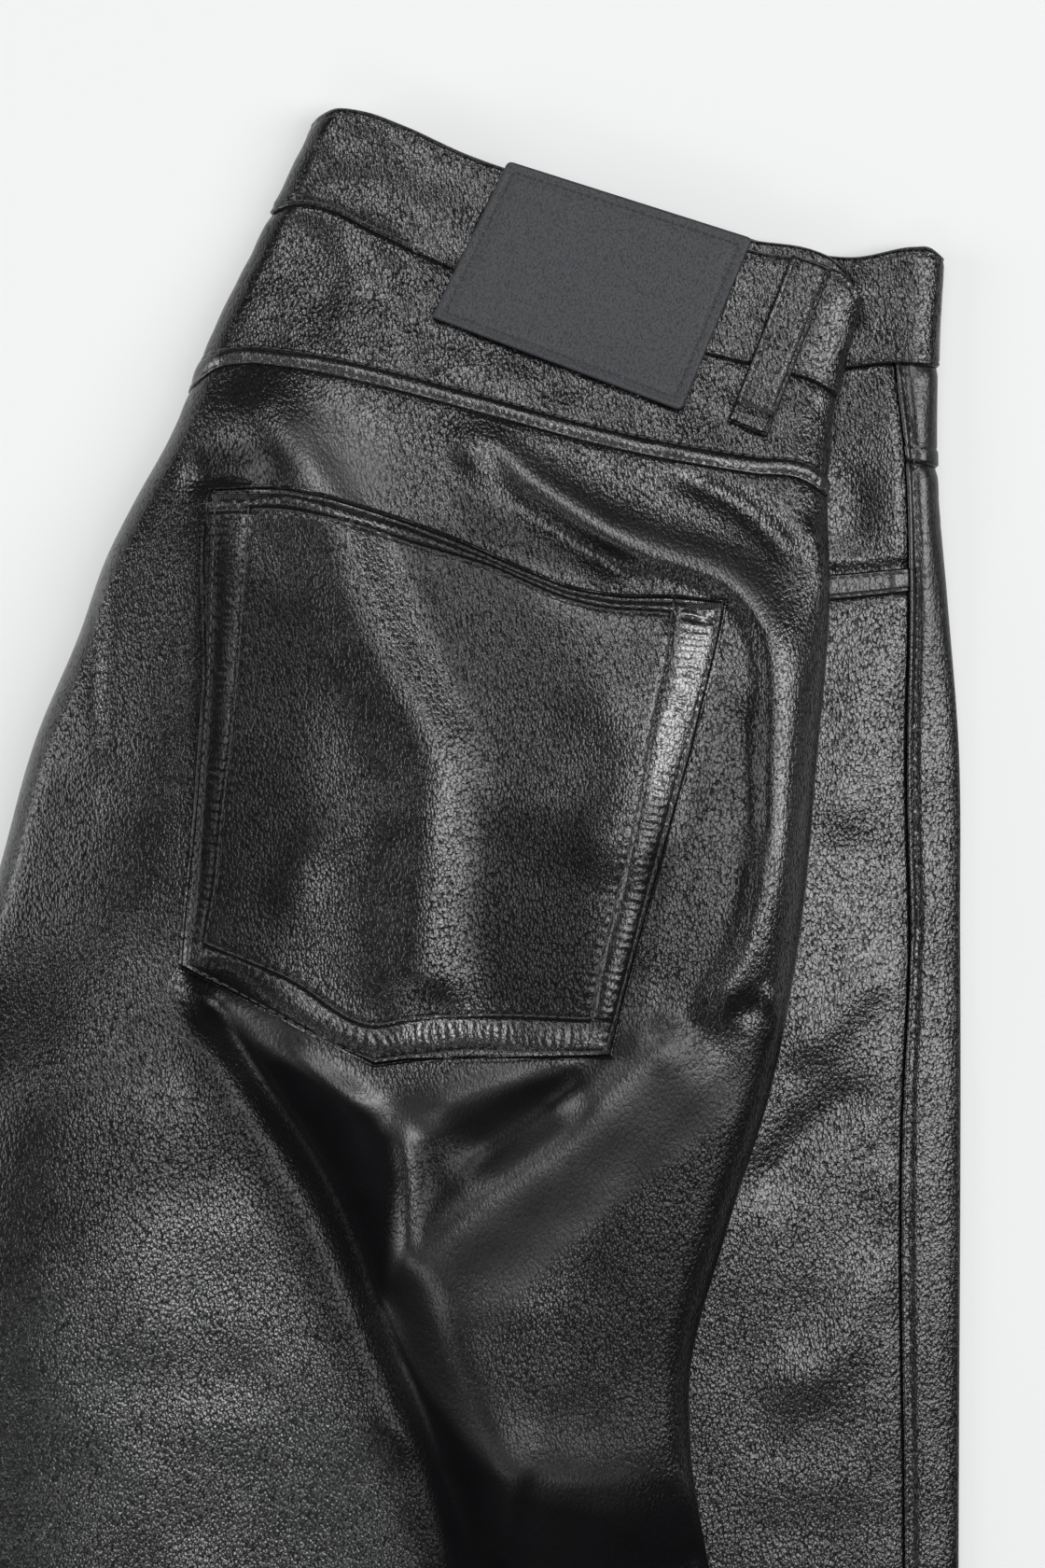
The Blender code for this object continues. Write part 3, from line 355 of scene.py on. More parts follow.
# Painted shade and painted highlights: outlines where the specular is turned down to paint shade into hollows
# and slopes, and turned up where negative to paint a highlight. Columns: outline (across, down), the width of its
# soft edge, and strength, which is negative where a highlight is painted.
PAINTED_SHADE_AND_HIGHLIGHT_ZONES = (
    # The deep hollow beside the bulging left edge.
    (((58, 297.1), (61.4, 310), (71.4, 316.6), (85.7, 342.3), (100, 368.6), (111.4, 394.3), (117.7, 409.1),
      (125.7, 422.9), (131.4, 435.7), (137.1, 454.3), (142.9, 482.9), (148.6, 482.9), (145.7, 445.7),
      (128.6, 420), (118.9, 400.6), (119.1, 392.9), (120.9, 377.1), (122.9, 360), (120.6, 347.4),
      (114.9, 340), (100, 329.1), (84.3, 322.3), (68.6, 308.6)), 5, 0.97),
    # The thigh below its last crease.
    (((122.9, 411.4), (142.9, 440), (160, 452), (182.9, 457.1), (212.9, 454.9), (228.6, 485.7),
      (134.3, 485.7)), 14, 0.97),
    # The slope from the bulge into the hollow.
    (((52.9, 301.4), (60.6, 328.6), (74.9, 354.3), (89.1, 380), (100.6, 405.7), (112, 428.6),
      (122.9, 457.1), (130, 485.7), (142.9, 485.7), (131.4, 437.1), (111.4, 394.3), (85.7, 342.3),
      (61.4, 310)), 15, 0.75),
    # Under the right arm of the fork.
    (((125.7, 349.1), (142.9, 340.6), (160, 331.4), (182.9, 321.4), (187.1, 324.3), (171.4, 338.6),
      (154.3, 352.9), (137.1, 368.6), (130, 377.7), (127.7, 374.3), (128, 360)), 4, 0.75),
    # Right of the slanting roll.
    (((237.7, 311.4), (239.4, 322.9), (228.6, 357.1), (220, 400), (212.9, 420), (210, 445.7), (200, 448),
      (182.9, 449.1), (171.4, 400), (182.9, 374.3), (197.1, 350), (217.1, 328.6)), 7, 0.5),
    # Below its left end.
    (((122.9, 400), (171.4, 400), (182.9, 449.1), (160, 444.3), (142.9, 432.9), (127.1, 411.4)), 7, 0.3),
    # In the pocket, left of the ridge.
    (((61.4, 160), (94.3, 182.9), (98.6, 242.9), (91.4, 285.7), (85.7, 305.7), (61.4, 295.7)), 16, 0.65),
    # Above the pocket.
    (((60, 136.6), (85.7, 135.7), (94.3, 144.3), (85.7, 149.1), (61.4, 148.6)), 5, 0.6),
    # In the pocket, right of the ridge.
    (((122.9, 160), (137.1, 160), (160, 174.3), (174.3, 217.1), (177.1, 242.9), (142.9, 242.9),
      (140, 217.1), (127.1, 185.7)), 12, 0.45),
    # Below that.
    (((144.3, 242.9), (182.9, 245.7), (185.7, 271.4), (182.9, 312.9), (148.6, 312.9), (141.4, 285.7)
     ), 14, 0.75),
    # The pocket's left band.
    (((60.6, 155.7), (70.3, 155.7), (69.4, 228.6), (65.7, 288.6), (58.9, 288.6)), 3, 0.6),
    # The lower end of its right one.
    (((198.6, 257.1), (207.1, 257.1), (194.3, 322.9), (182.9, 324.3), (187.1, 308.6)), 3, 0.6),
    # The upper end of that, with a painted highlight.
    (((210, 182.9), (219.4, 182.9), (217.7, 205.7), (210.9, 228.6), (204.3, 245.7), (197.1, 242.9),
      (200, 228.6), (206.3, 205.7)), 3.5, -1.0),
    # The middle of its bottom band.
    (((122.9, 306.3), (157.1, 306.3), (157.1, 318.3), (122.9, 318.3)), 4, -0.8),
    # The pocket's ridge.
    (((91.4, 128.6), (102.9, 134.3), (117.1, 157.1), (124.3, 174.3), (132.9, 197.1), (142.9, 217.1),
      (134.3, 217.1), (118.6, 197.1), (110, 174.3), (104.3, 160), (94.3, 142.9)), 4, -0.6),
    # The crease from the yoke to the right edge.
    (((147.1, 132.9), (160, 142.9), (171.4, 150), (185.7, 158.6), (200, 162.9), (212.9, 166.6),
      (227.1, 171.4), (237.1, 181.4), (242.9, 194.3), (243.7, 217.1), (242.3, 242.9), (239.4, 274.3),
      (235.7, 274.3), (237.7, 245.7), (238.6, 217.1), (236.6, 197.1), (231.4, 185.7), (222.9, 177.7),
      (210, 172.3), (195.7, 168.6), (182.9, 164.3), (168.6, 155.7), (157.1, 148.6), (145.1, 137.1)
     ), 4, -0.35),
    # Below it.
    (((137.1, 148.6), (160, 160), (182.9, 171.4), (200, 178.6), (182.9, 178.6), (160, 171.4), (142.9, 164.3)
     ), 5, 0.5),
    # Above it.
    (((160, 134.3), (200, 142.9), (242.9, 154.3), (245.7, 171.4), (228.6, 168.6), (200, 160), (171.4, 145.7)
     ), 6, -0.5),
    # Left of the pocket.
    (((28.6, 168.6), (34.9, 168.6), (33.7, 248.6), (30.9, 251.4)), 4, -0.8),
    # Right of the pocket.
    (((218.6, 205.7), (237.1, 217.1), (232.9, 274.3), (214.3, 302.9), (200, 314.3), (200, 271.4),
      (210, 242.9)), 8, 0.5),
    # Beside the pocket's lower corner.
    (((197.1, 308.6), (217.1, 308.6), (217.1, 325.7), (200, 328.6)), 6, 0.5),
    # The bulging left edge.
    (((14.3, 308.6), (54.3, 302.9), (74.3, 342.9), (68.6, 368.6), (22.9, 377.1)), 14, 0.3),
    # The thigh beside it.
    (((42.9, 371.4), (71.4, 360), (98.6, 411.4), (122.9, 457.1), (131.4, 485.7), (-17.1, 485.7),
      (-17.1, 405.7), (28.6, 385.7)), 20, -0.6),
    # The right edge by the yoke.
    (((255.7, 82.9), (267.1, 82.9), (265.7, 111.4), (264.3, 171.4), (251.4, 171.4), (254.3, 114.3)), 5, 0.45),
)


def fold_height(folds, across, down):
    """The creases' soft ridges and troughs together."""
    across, down = np.broadcast_arrays(across, down)
    total = np.zeros(across.shape)
    for path, right, left, height in folds:
        found, signed, along = path.near(across, down, FOLD_REACH * max(right, left))
        width = np.where(signed > 0, right, left)
        reach = min(FADE * path.length, max(FADE_LENGTH, right, left))
        fade = smooth(along / reach) * smooth((path.length - along) / reach)
        total[found] += height * fade * np.exp(-((signed / width) ** 2))
    return total


def within(outline, across, down):
    """Distance from a closed outline, positive inside it."""
    points = np.array(outline, float)
    nearest, held = np.full(across.shape, np.inf), np.zeros(across.shape, bool)
    for start, end in zip(points, np.roll(points, -1, axis=0)):
        side = end - start
        x, y = across - start[0], down - start[1]
        share = np.clip((x * side[0] + y * side[1]) / (side @ side), 0, 1)
        nearest = np.minimum(nearest, np.hypot(x - share * side[0], y - share * side[1]))
        crossing = start[0] + y * side[0] / (side[1] or 1.0)
        held ^= ((start[1] > down) != (end[1] > down)) & (across < crossing)
    return np.where(held, nearest, -nearest)


def painted_shade_and_highlight_at(grid):
    """The painted shade at a grid's points: 0 where none is painted, up to 1, and below 0 where a highlight is
    painted.
    """
    painted_specular = np.ones(grid.across.shape)
    for outline, soft, painted_shade_and_highlight in PAINTED_SHADE_AND_HIGHLIGHT_ZONES:
        painted_specular *= 1 - painted_shade_and_highlight * smooth(0.5 + within(outline, grid.across, grid.down) / soft)
    return 1 - painted_specular


# ---- The two legs' outer surfaces ----


def below_waist(across, down):
    return down - (6 + 0.29 * np.clip(across, -60, 255))


class Leg:
    """One leg's outer surface: its two edges in plan, and the heights of its upper and lower faces."""

    def __init__(self, left, right, left_width, right_width, top, bottom):
        self.left, self.right = left, right
        self.left_width, self.right_width = left_width, right_width
        self.top, self.bottom = top, bottom

    def left_round(self, down):
        return self.left_width(below_waist(self.left(down), down))

    def right_round(self, down):
        return self.right_width(below_waist(self.right(down), down))

    def left_end(self, down):
        return self.left(down) + self.left_round(down)

    def right_end(self, down):
        return self.right(down) - self.right_round(down)


def left_top(across, down):
    unevenness = 0.3 * noise(across, down, 30, 7) + 0.2 * noise(across, down, 13, 8)
    unevenness -= LEFT_FALL(down) * np.maximum(across - RIGHT_SIDE(down) + FALL_START, 0)
    return LEFT_THICKNESS(below_waist(across, down)) + fold_height(LEFT_FOLDS, across, down) + unevenness


def left_bottom(across, down):
    return 0.0 * across


def right_bottom(across, down):
    carried = smooth((across - LEFT_INSEAM(down) + DROOP_FROM) / DROOP_OVER)
    bumps = np.maximum(fold_height(LEFT_FOLDS, across, down), 0)
    return FLOOR_LIFT + (LEFT_THICKNESS(below_waist(across, down)) + LAYER_GAP - FLOOR_LIFT + bumps) * carried


def right_base(across, down):
    """The upper face without its creases."""
    below = below_waist(across, down)
    left, right = BACK_FOLD(down), RIGHT_SIDE(down)
    share = np.clip((across - left) / (right - left), 0, 1)
    crown = CROWN(below) * (1 - np.abs(2 * share - 1) ** CROWN_POWER)
    crown += SHOULDER(below) * smooth((across - left) / SHOULDER_WIDTH) - SHOULDER(below)
    carried = smooth((across - LEFT_INSEAM(down) + TOP_DROOP_FROM) / TOP_DROOP_OVER)
    base = FLOOR_LIFT + (LEFT_THICKNESS(below) + LAYER_GAP - FLOOR_LIFT) * carried
    return base + RIGHT_THICKNESS(below) + crown


def right_top(across, down):
    below = below_waist(across, down)
    folds = smooth(below / 90) * fold_height(FOLDS, across, down) + fold_height(WAIST_FOLDS, across, down)
    unevenness = smooth(below / 60) * (0.22 * noise(across, down, 34, 3) + 0.22 * noise(across, down, 15, 4))
    floor = right_bottom(across, down) + HIDDEN_SHARE * RIGHT_THICKNESS(below) + LEATHER + HIDDEN_CLEAR
    return np.maximum(right_base(across, down) + folds + unevenness, floor)


RIGHT_LEG = Leg(BACK_FOLD, RIGHT_SIDE, FOLD_ROUND, RIGHT_ROUND, right_top, right_bottom)
LEFT_LEG = Leg(LEFT_INSEAM, LEFT_SIDE, FOLD_ROUND, LEFT_ROUND, left_top, left_bottom)


def tucked(leg, inset):
    """The same leg with its left edge moved in where the legs share the back fold."""
    made = copy.copy(leg)
    made.left = lambda down: leg.left(down) + JOINED(down) * inset
    return made


# ---- Grids of points on a leg ----


def spread(length, step):
    """Even shares of a length, about a step apart."""
    return np.linspace(0, 1, max(2, int(round(length / (step * STEP)))) + 1)


class Rows:
    """Lines across the garment, from one to another, with a depth into the leather in mm."""

    def __init__(self, first, last, shares, shift=0.0, depth=0.0):
        self.first, self.last = first, last
        self.shares = np.asarray(shares, float)[:, None]
        self.shift = np.zeros_like(self.shares) + np.reshape(shift, (-1, 1))
        self.depth = np.zeros_like(self.shares) + np.reshape(depth, (-1, 1))

    def down(self, across):
        return (1 - self.shares) * self.first(across) + self.shares * self.last(across) + self.shift


class Face:
    """Lines down a leg's upper or lower face, from one to another."""

    side = 0

    def __init__(self, first, last, shares, turn=UP, depth=0.0):
        self.first, self.last, self.level_turn = first, last, turn
        self.shares = np.asarray(shares, float)[None, :]
        self.depth = np.zeros_like(self.shares) + depth

    def turn(self, down):
        return self.level_turn + 0 * down

    def across(self, down):
        return (1 - self.shares) * self.first(down) + self.shares * self.last(down)


class Edge:
    """Lines down a leg, round one of its edges from one turn to another. Side -1 is the left edge."""

    def __init__(self, leg, side, first_turn, last_turn, shares, depth=0.0):
        self.edge, self.width = (leg.left, leg.left_round) if side < 0 else (leg.right, leg.right_round)
        self.side, self.first_turn, self.last_turn = side, first_turn, last_turn
        self.shares = np.asarray(shares, float)[None, :]
        self.depth = np.zeros_like(self.shares) + depth

    def turn(self, down):
        first, last = (t(down) if callable(t) else t for t in (self.first_turn, self.last_turn))
        return (1 - self.shares) * first + self.shares * last + 0 * down

    def across(self, down):
        out = np.cos(np.radians(self.turn(down)))
        return self.edge(down) - self.side * self.width(down) * (1 - out)


def blocks(parts, axis):
    """Each block with the slice of the grid that it fills."""
    made, start = [], 0
    for part in parts:
        count = part.shares.shape[axis]
        made.append((part, slice(start, start + count)))
        start += count
    return made, start


SOLVER_ROUNDS = 14


class Grid:
    """Points where rows meet columns, with the direction that faces out of the leather at each."""

    def __init__(self, leg, rows, columns, middle=None):
        row_blocks, row_count = blocks(rows, 0)
        column_blocks, column_count = blocks(columns, 1)
        shape = (row_count, column_count)
        self.down, self.across = np.full(shape, 200.0), np.zeros(shape)
        for _ in range(SOLVER_ROUNDS):
            for block, part in column_blocks:
                self.across[:, part] = block.across(self.down[:, part])
            for block, part in row_blocks:
                self.down[part] = block.down(self.across[part])
        turn, self.side = np.zeros(shape), np.zeros(shape)
        self.depth = np.concatenate([block.depth for block, _ in row_blocks]) + np.zeros(shape)
        for block, part in column_blocks:
            self.across[:, part] = block.across(self.down[:, part])
            turn[:, part] = block.turn(self.down[:, part])
            self.side[:, part] = block.side
            self.depth[:, part] += block.depth
        self.out, self.up = np.cos(np.radians(turn)), np.sin(np.radians(turn))
        top, bottom = leg.top(self.across, self.down), leg.bottom(self.across, self.down)
        centre = (top + bottom) / 2 if middle is None else middle(self, top, bottom)
        self.height = centre + self.up * np.where(self.up >= 0, top - centre, centre - bottom)

    def points(self, relief=0.0):
        """The points moved out of the leather by a relief, and in by the rows' and columns' own depths."""
        depth = self.depth - relief
        return frame_points(self.across - depth * self.out * self.side, self.down, self.height - depth * self.up)


def frame_points(across, down, height):
    """Points in the CAD's frame, in metres."""
    return np.stack([(across - CENTRE_ACROSS) * MM, (CENTRE_DOWN - down) * MM, height * MM], axis=-1)


def tucked_under(line, by=1.5, last=0.5, depth=(2.2, 1.4)):
    """The rows of a panel's upper edge, tucked in under the piece above."""
    return Rows(moved(line, -by), line, [0, last], depth=depth)


def turned_in(line, *depth):
    """The rows of an edge turned in at a seam, all on one line."""
    return Rows(line, line, [0] * len(depth), depth=depth)


def rows_to_hem(hem_down, length, step, start=VIEW_END):
    """The coarser rows of a leg down to its hem, the last one tucked into it."""
    end = level(hem_down - HEM_HEIGHT)
    return [Rows(level(start), end, spread(length, step)[1:]), Rows(end, end, [0], shift=1.5, depth=2.0)]


def below_line(line, grid):
    """Distance below a line across the garment, square to it."""
    return (grid.down - line(grid.across)) / slope_length(line, grid.across)


def slope_length(line, across):
    """How much longer a slanting line is than its width."""
    return np.hypot(1, (line(across + 1) - line(across - 1)) / 2)


# ---- Meshes ----


def add_object(name, data):
    made = bpy.data.objects.new(name, data)
    bpy.context.scene.collection.objects.link(made)
    return made


def add_mesh(name, points, faces, material, shades=None):
    """A smooth-shaded object. Shades are numbers at the points, for the material to read by name."""
    mesh = bpy.data.meshes.new(name)
    points = np.asarray(points, float).reshape(-1, 3)
    faces = np.asarray(faces, np.int32)
    mesh.vertices.add(len(points))
    mesh.vertices.foreach_set("co", points.ravel())
    mesh.loops.add(faces.size)
    mesh.loops.foreach_set("vertex_index", faces.ravel())
    mesh.polygons.add(len(faces))
    mesh.polygons.foreach_set("loop_start", np.arange(0, faces.size, faces.shape[1], dtype=np.int32))
    mesh.update(calc_edges=True)
    mesh.validate()
    mesh.materials.append(material)
    mesh.shade_smooth()
    for key, values in (shades or {}).items():
        layer = mesh.attributes.new(key, "FLOAT", "POINT")
        layer.data.foreach_set("value", np.asarray(values, np.float32).ravel())
    return add_object(name, mesh)


def sheet_faces(rows, columns, close_rows=False, close_columns=False):
    """Quads between the points of a grid, whose last row or column may join the first."""
    i = np.arange(rows if close_rows else rows - 1)[:, None]
    j = np.arange(columns if close_columns else columns - 1)[None, :]
    below, beside = (i + 1) % rows, (j + 1) % columns
    corners = [i * columns + j, below * columns + j, below * columns + beside, i * columns + beside]
    return np.stack([np.broadcast_to(c, np.broadcast(i, j).shape) for c in corners], axis=-1).reshape(-1, 4)


def add_sheet(name, points, material, shades=None, closed=False):
    """A sheet over a grid of points, or a ring's closed skin."""
    return add_mesh(name, points, sheet_faces(*points.shape[:2], closed, closed), material, shades)


def add_slab(name, top, under, material):
    """A closed slab between two grids of points."""
    rows, columns = top.shape[:2]
    faces, inside = sheet_faces(rows, columns), rows * columns
    rim = list(range(columns)) + [i * columns + columns - 1 for i in range(1, rows)]
    rim += [(rows - 1) * columns + j for j in reversed(range(columns - 1))]
    rim += [i * columns for i in reversed(range(1, rows - 1))]
    sides = [(a, b, b + inside, a + inside) for a, b in zip(rim, rim[1:] + rim[:1])]
    faces = np.concatenate([faces, faces[:, ::-1] + inside, np.array(sides)])
    return add_mesh(name, np.concatenate([top.reshape(-1, 3), under.reshape(-1, 3)]), faces, material)


def surface_of(*pieces):
    """A tree of the pieces' faces, to lay stitches on."""
    points, faces = [], []
    for piece in pieces:
        mesh = piece.data
        start = len(points)
        points += [v.co.copy() for v in mesh.vertices]
        faces += [[start + v for v in polygon.vertices] for polygon in mesh.polygons]
    return BVHTree.FromPolygons(points, faces)


# ---- Materials ----


class Nodes:
    """A new material, or another node tree, written shortly."""

    def __init__(self, name=None, tree=None):
        if name:
            self.material = bpy.data.materials.new(name)
            self.material.use_nodes = True
            tree = self.material.node_tree
            self.shader = tree.nodes["Principled BSDF"].inputs
        self.tree = tree

    def add(self, kind, settings=(), **inputs):
        """A node, with the inputs whose names or places are given set or linked."""
        node = self.tree.nodes.new("ShaderNode" + kind)
        for key, value in dict(settings).items():
            setattr(node, key, value)
        for key, value in inputs.items():
            self.put(node.inputs[int(key[1:]) if key[0] == "_" else key], value)
        return node

    def link(self, source, target):
        self.tree.links.new(source, target)

    def put(self, socket, value):
        if isinstance(value, bpy.types.NodeSocket):
            self.link(value, socket)
        else:
            socket.default_value = value

    def math(self, operation, first, second=0.0, third=0.0):
        return self.add("Math", {"operation": operation}, _0=first, _1=second, _2=third).outputs[0]

    def fit(self, value, low, high, to_low, to_high):
        return self.add("MapRange", _0=value, _1=low, _2=high, _3=to_low, _4=to_high).outputs[0]

    def place(self):
        return self.add("TexCoord").outputs["Object"]

    def noise(self, place, size, detail):
        return self.add("TexNoise", Vector=place, Scale=1.0 / size, Detail=detail).outputs

    def attribute(self, name):
        return self.add("Attribute", {"attribute_name": name}).outputs["Fac"]

    def bump(self, height, distance):
        bump = self.add("Bump", Height=height, Distance=distance * MM, Strength=1.0)
        self.link(bump.outputs["Normal"], self.shader["Normal"])

    def colour(self, share, low, high):
        """Colours the surface between two colours."""
        ramp = self.add("ValToRGB", Fac=share)
        for element, colour in zip(ramp.color_ramp.elements, (low, high)):
            element.color = (*colour, 1.0)
        self.link(ramp.outputs["Color"], self.shader["Base Color"])


GRAIN_TURN, GRAIN_STRETCH = -0.35, 0.55  # the pebbles are longer than wide, and lie aslant
WORN_GRAIN = 0.35  # the share of the grain's depth that is left where it's worn
PATCHES = 16.0  # times the grain's size: the places where the grain is deeper or shallower


def leather_material(name, colour, roughness, grain_size, grain_depth, specular):
    """Leather: domed pebbles of grain, with shade painted into the creases between them.

    The attribute "worn" smooths the grain; the painted shade attribute turns the specular down to paint shade, and
    up where it's negative to paint a highlight.
    """
    n = Nodes(name)
    place, worn = n.place(), n.attribute("worn")
    size = grain_size * MM
    stretched = n.add(
        "Mapping", Vector=place, Rotation=(0.0, 0.0, GRAIN_TURN), Scale=(1.0, GRAIN_STRETCH, 1.0)
    ).outputs["Vector"]
    warp = n.noise(place, 1.6 * size, 1.0)
    shifted = n.add(
        "VectorMath", {"operation": "MULTIPLY_ADD"}, _0=warp["Color"], _1=(1.2 * size,) * 3, _2=stretched
    ).outputs[0]
    away = n.add("TexVoronoi", Vector=shifted, Scale=1.0 / size, Randomness=0.9).outputs["Distance"]
    dome = n.math("MULTIPLY_ADD", n.math("POWER", away, 2.0), -1.0, n.math("MULTIPLY", warp["Fac"], 0.8))
    patches = n.noise(place, PATCHES * size, 3.0)["Fac"]
    depth = n.math("MULTIPLY", n.fit(patches, 0.3, 0.7, 0.7, 1.0), n.fit(worn, 0.0, 1.0, 1.0, WORN_GRAIN))
    n.bump(n.math("MULTIPLY", dome, depth), grain_depth)
    # Painted shade: the specular is turned down by up to 92% in the creases between pebbles.
    painted_crease_shade = n.math("MULTIPLY", n.fit(away, 0.3, 0.8, 0.0, 0.92), depth)
    painted_specular = n.math("MULTIPLY_ADD", painted_crease_shade, -specular, specular)
    # Painted shade and painted highlights: the specular scaled by the listed zones' attribute.
    painted_shade_factor = n.math("SUBTRACT", 1.0, n.attribute("painted_shade_and_highlight"))
    n.link(n.math("MULTIPLY", painted_specular, painted_shade_factor), n.shader["Specular IOR Level"])
    rough = n.math("MULTIPLY_ADD", patches, 0.08, roughness - 0.04)
    n.link(n.math("MULTIPLY_ADD", worn, 0.1, rough), n.shader["Roughness"])
    n.colour(patches, [0.7 * c for c in colour], [1.3 * c for c in colour])
    return n.material


def thread_material():
    n = Nodes("black_thread")
    n.shader["Specular IOR Level"].default_value = 0.4
    settings = {"wave_type": "BANDS", "bands_direction": "DIAGONAL"}
    twist = n.add("TexWave", settings, Vector=n.place(), Scale=900.0).outputs["Fac"]
    n.bump(twist, 0.05)
    n.link(n.fit(twist, 0.0, 1.0, 0.45, 0.6), n.shader["Roughness"])
    n.colour(twist, (0.012, 0.012, 0.013), (0.030, 0.030, 0.032))
    return n.material


BLACK = leather_material("black_leather", (0.0040, 0.0040, 0.0045), 0.24, 0.78, 0.18, 0.62)
MATT = leather_material("matt_black_leather", (0.026, 0.027, 0.030), 0.55, 0.45, 0.03, 0.35)
THREAD = thread_material()


# ---- Relief along seams ----


def edge_roll(distance, radius):
    """How far a cut or turned edge falls away within a radius of its end."""
    t = np.clip(distance / radius, 0, 1)
    return -radius * (1 - np.sqrt(np.maximum(1 - (1 - t) ** 2, 0)))


def hump(distance, centre, half_width):
    return np.exp(-(((distance - centre) / half_width) ** 2))


def puckers(along, beside, pitch, seed):
    """Uneven small pleats square to a seam, between -1 and 1."""
    sway = 0.5 * noise(along, beside, 2.4 * pitch, seed)
    sway += 0.1 * beside / pitch * noise(along, 0 * beside, 5 * pitch, seed)
    strength = 0.55 + 0.45 * noise(along, beside, 1.9 * pitch, seed + 1)
    return np.sin(2 * np.pi * (along / pitch + sway)) * strength


def yoke_relief(grid):
    """The yoke's doubled lower band, puffed between its two rows of stitches."""
    above = -below_line(RIGHT_YOKE_SEAM, grid)
    along = grid.across
    relief = 0.5 * smooth((YOKE_BAND + 0.7 - above) / 1.2) + edge_roll(above, 0.5)
    relief += 0.45 * hump(above, 3.2, 1.5)
    relief -= 0.28 * hump(above, YOKE_BAND, 0.6) + 0.2 * hump(above, EDGE_ROW, 0.5)
    relief += (0.2 * hump(above, 1.7, 1.2) + 0.06 * hump(above, YOKE_BAND, 1.5)) * puckers(along, above, 2.2, 21)
    top = below_line(RIGHT_WAIST_SEAM, grid)
    relief -= 0.4 * hump(top, 0.0, 1.4)
    relief += 0.06 * hump(top, 2.0, 3.0) * puckers(along, top, STITCH_PITCH, 23)
    return relief + 0.3 * noise(along, 1.3 * grid.down, 15, 87) + 0.28 * noise(along, grid.down, 7, 88)


def panel_relief(grid):
    """The back panel's dip below the yoke, and its puckers there."""
    below = below_line(RIGHT_YOKE_SEAM, grid)
    strength = 0.12 * hump(below, 1.8, 2.2) + 0.04 * hump(below, 6, 5)
    return strength * puckers(grid.across, below, STITCH_PITCH, 25) - 0.3 * hump(below, 0.0, 1.0)


def pocket_bottom(across):
    place, down = np.array(POCKET_BOTTOM, float).T
    return np.interp(across, place, down)


POCKET_OUTLINE = (
    (64.4, 149.4), (88.6, 149.4), (101, 152), (113.4, 155.7), (125.7, 159.5), (138.3, 164.3), (149, 168.6),
    (160, 173.7), (175, 179.6), (189, 182), (206, 182.4), (222.4, 184), (219.5, 202), (214.4, 220), (208, 243),
    (202, 266), (196, 289), (187, 323.4), (163, 323.4), (143, 322.8), (125, 324.6), (115, 326), (101, 320.6),
    (76.3, 307), (55.7, 295.7), (58.3, 273.4), (60, 249), (62.6, 211), (63.7, 174), (64.4, 149.4),
)
POCKET_INNER_LEFT = ((76.9, 152), (74.9, 187), (71.9, 224), (68.9, 248.6), (66.3, 273.4), (63.7, 288))
POCKET_INNER_BOTTOM = ((63.7, 288), (88.6, 298.3), (115.7, 312.9), (125.7, 311.1), (148.6, 310), (180.6, 311.1))
POCKET_INNER_RIGHT = (
    (180.6, 311.1), (184.6, 289), (188.9, 273.4), (192.9, 256), (196, 241), (198.9, 222.6), (203.1, 204),
    (206, 183.7),
)
POCKET_INNER_TOP = (
    (218.3, 190.9), (204, 188.3), (183.7, 186.7), (173.4, 184.1), (148.6, 173.7), (138.2, 170.6),
    (125.7, 166.9), (113.4, 162.6), (101, 159.4), (88.6, 156.9), (64.3, 156.9),
)
# The band between the two rows of stitches. Columns: inner row, reach from the edge, how far it puffs up.
POCKET_BANDS = (
    (POCKET_INNER_LEFT, 13, 0.6), (POCKET_INNER_BOTTOM, 13, 0.8), (POCKET_INNER_RIGHT, 17, 1.2),
    (POCKET_INNER_TOP, 8.5, 0.8),
)


class Polyline(Path):
    """As Path, but with straight stretches between its points."""

    def __init__(self, points):
        self.points = np.array(points, float)
        self.lengths = np.hypot(*np.diff(self.points, axis=0).T)
        self.starts = np.concatenate([[0], np.cumsum(self.lengths)])
        self.length = self.starts[-1]


def distance_to(path, grid, reach):
    found, signed, along = path.near(grid.across, grid.down, reach)
    distance, place = np.full(grid.across.shape, 2.0 * reach), np.zeros(grid.across.shape)
    distance[found], place[found] = signed, along
    return distance, place


def pocket_relief(grid):
    """The patch pocket: rounded edges, a puffed band all round, and the grooves of its two rows of stitches."""
    outline, along = distance_to(Polyline(POCKET_OUTLINE), grid, 60)
    inside = np.abs(outline)
    relief = POCKET_STAND + edge_roll(inside, 0.8)
    relief -= 0.32 * hump(inside, POCKET_EDGE_ROW, 0.6)
    relief += 0.15 * hump(inside, POCKET_EDGE_ROW + 1.2, 1.6) * puckers(along, inside, STITCH_PITCH, 31)
    band = np.zeros(grid.across.shape)
    for k, (points, width, puff) in enumerate(POCKET_BANDS):
        path = Path(points)
        distance, place = distance_to(path, grid, 24)
        near = np.abs(distance)
        covered = smooth(place / 2 + 0.5) * smooth((path.length - place) / 2 + 0.5)
        relief -= 0.38 * hump(near, 0, 0.65) * covered
        relief += 0.13 * hump(near, 1.6, 1.4) * puckers(place, distance, STITCH_PITCH, 35 + k) * covered
        towards_edge = (distance > 0) & (near < width) & (inside < width)
        share = near / np.maximum(near + inside - POCKET_EDGE_ROW, 0.1)
        dome = 4 * puff * np.clip(share * (1 - share), 0, 1)
        pleats = 0.16 * np.clip(4 * share * (1 - share), 0, 1) * puckers(place, distance, 2.5, 41 + k)
        band = np.maximum(band, np.where(towards_edge, 0.4 * smooth(near / 1.6) + dome + pleats, 0) * covered)
    return relief + band


# ---- The right leg ----


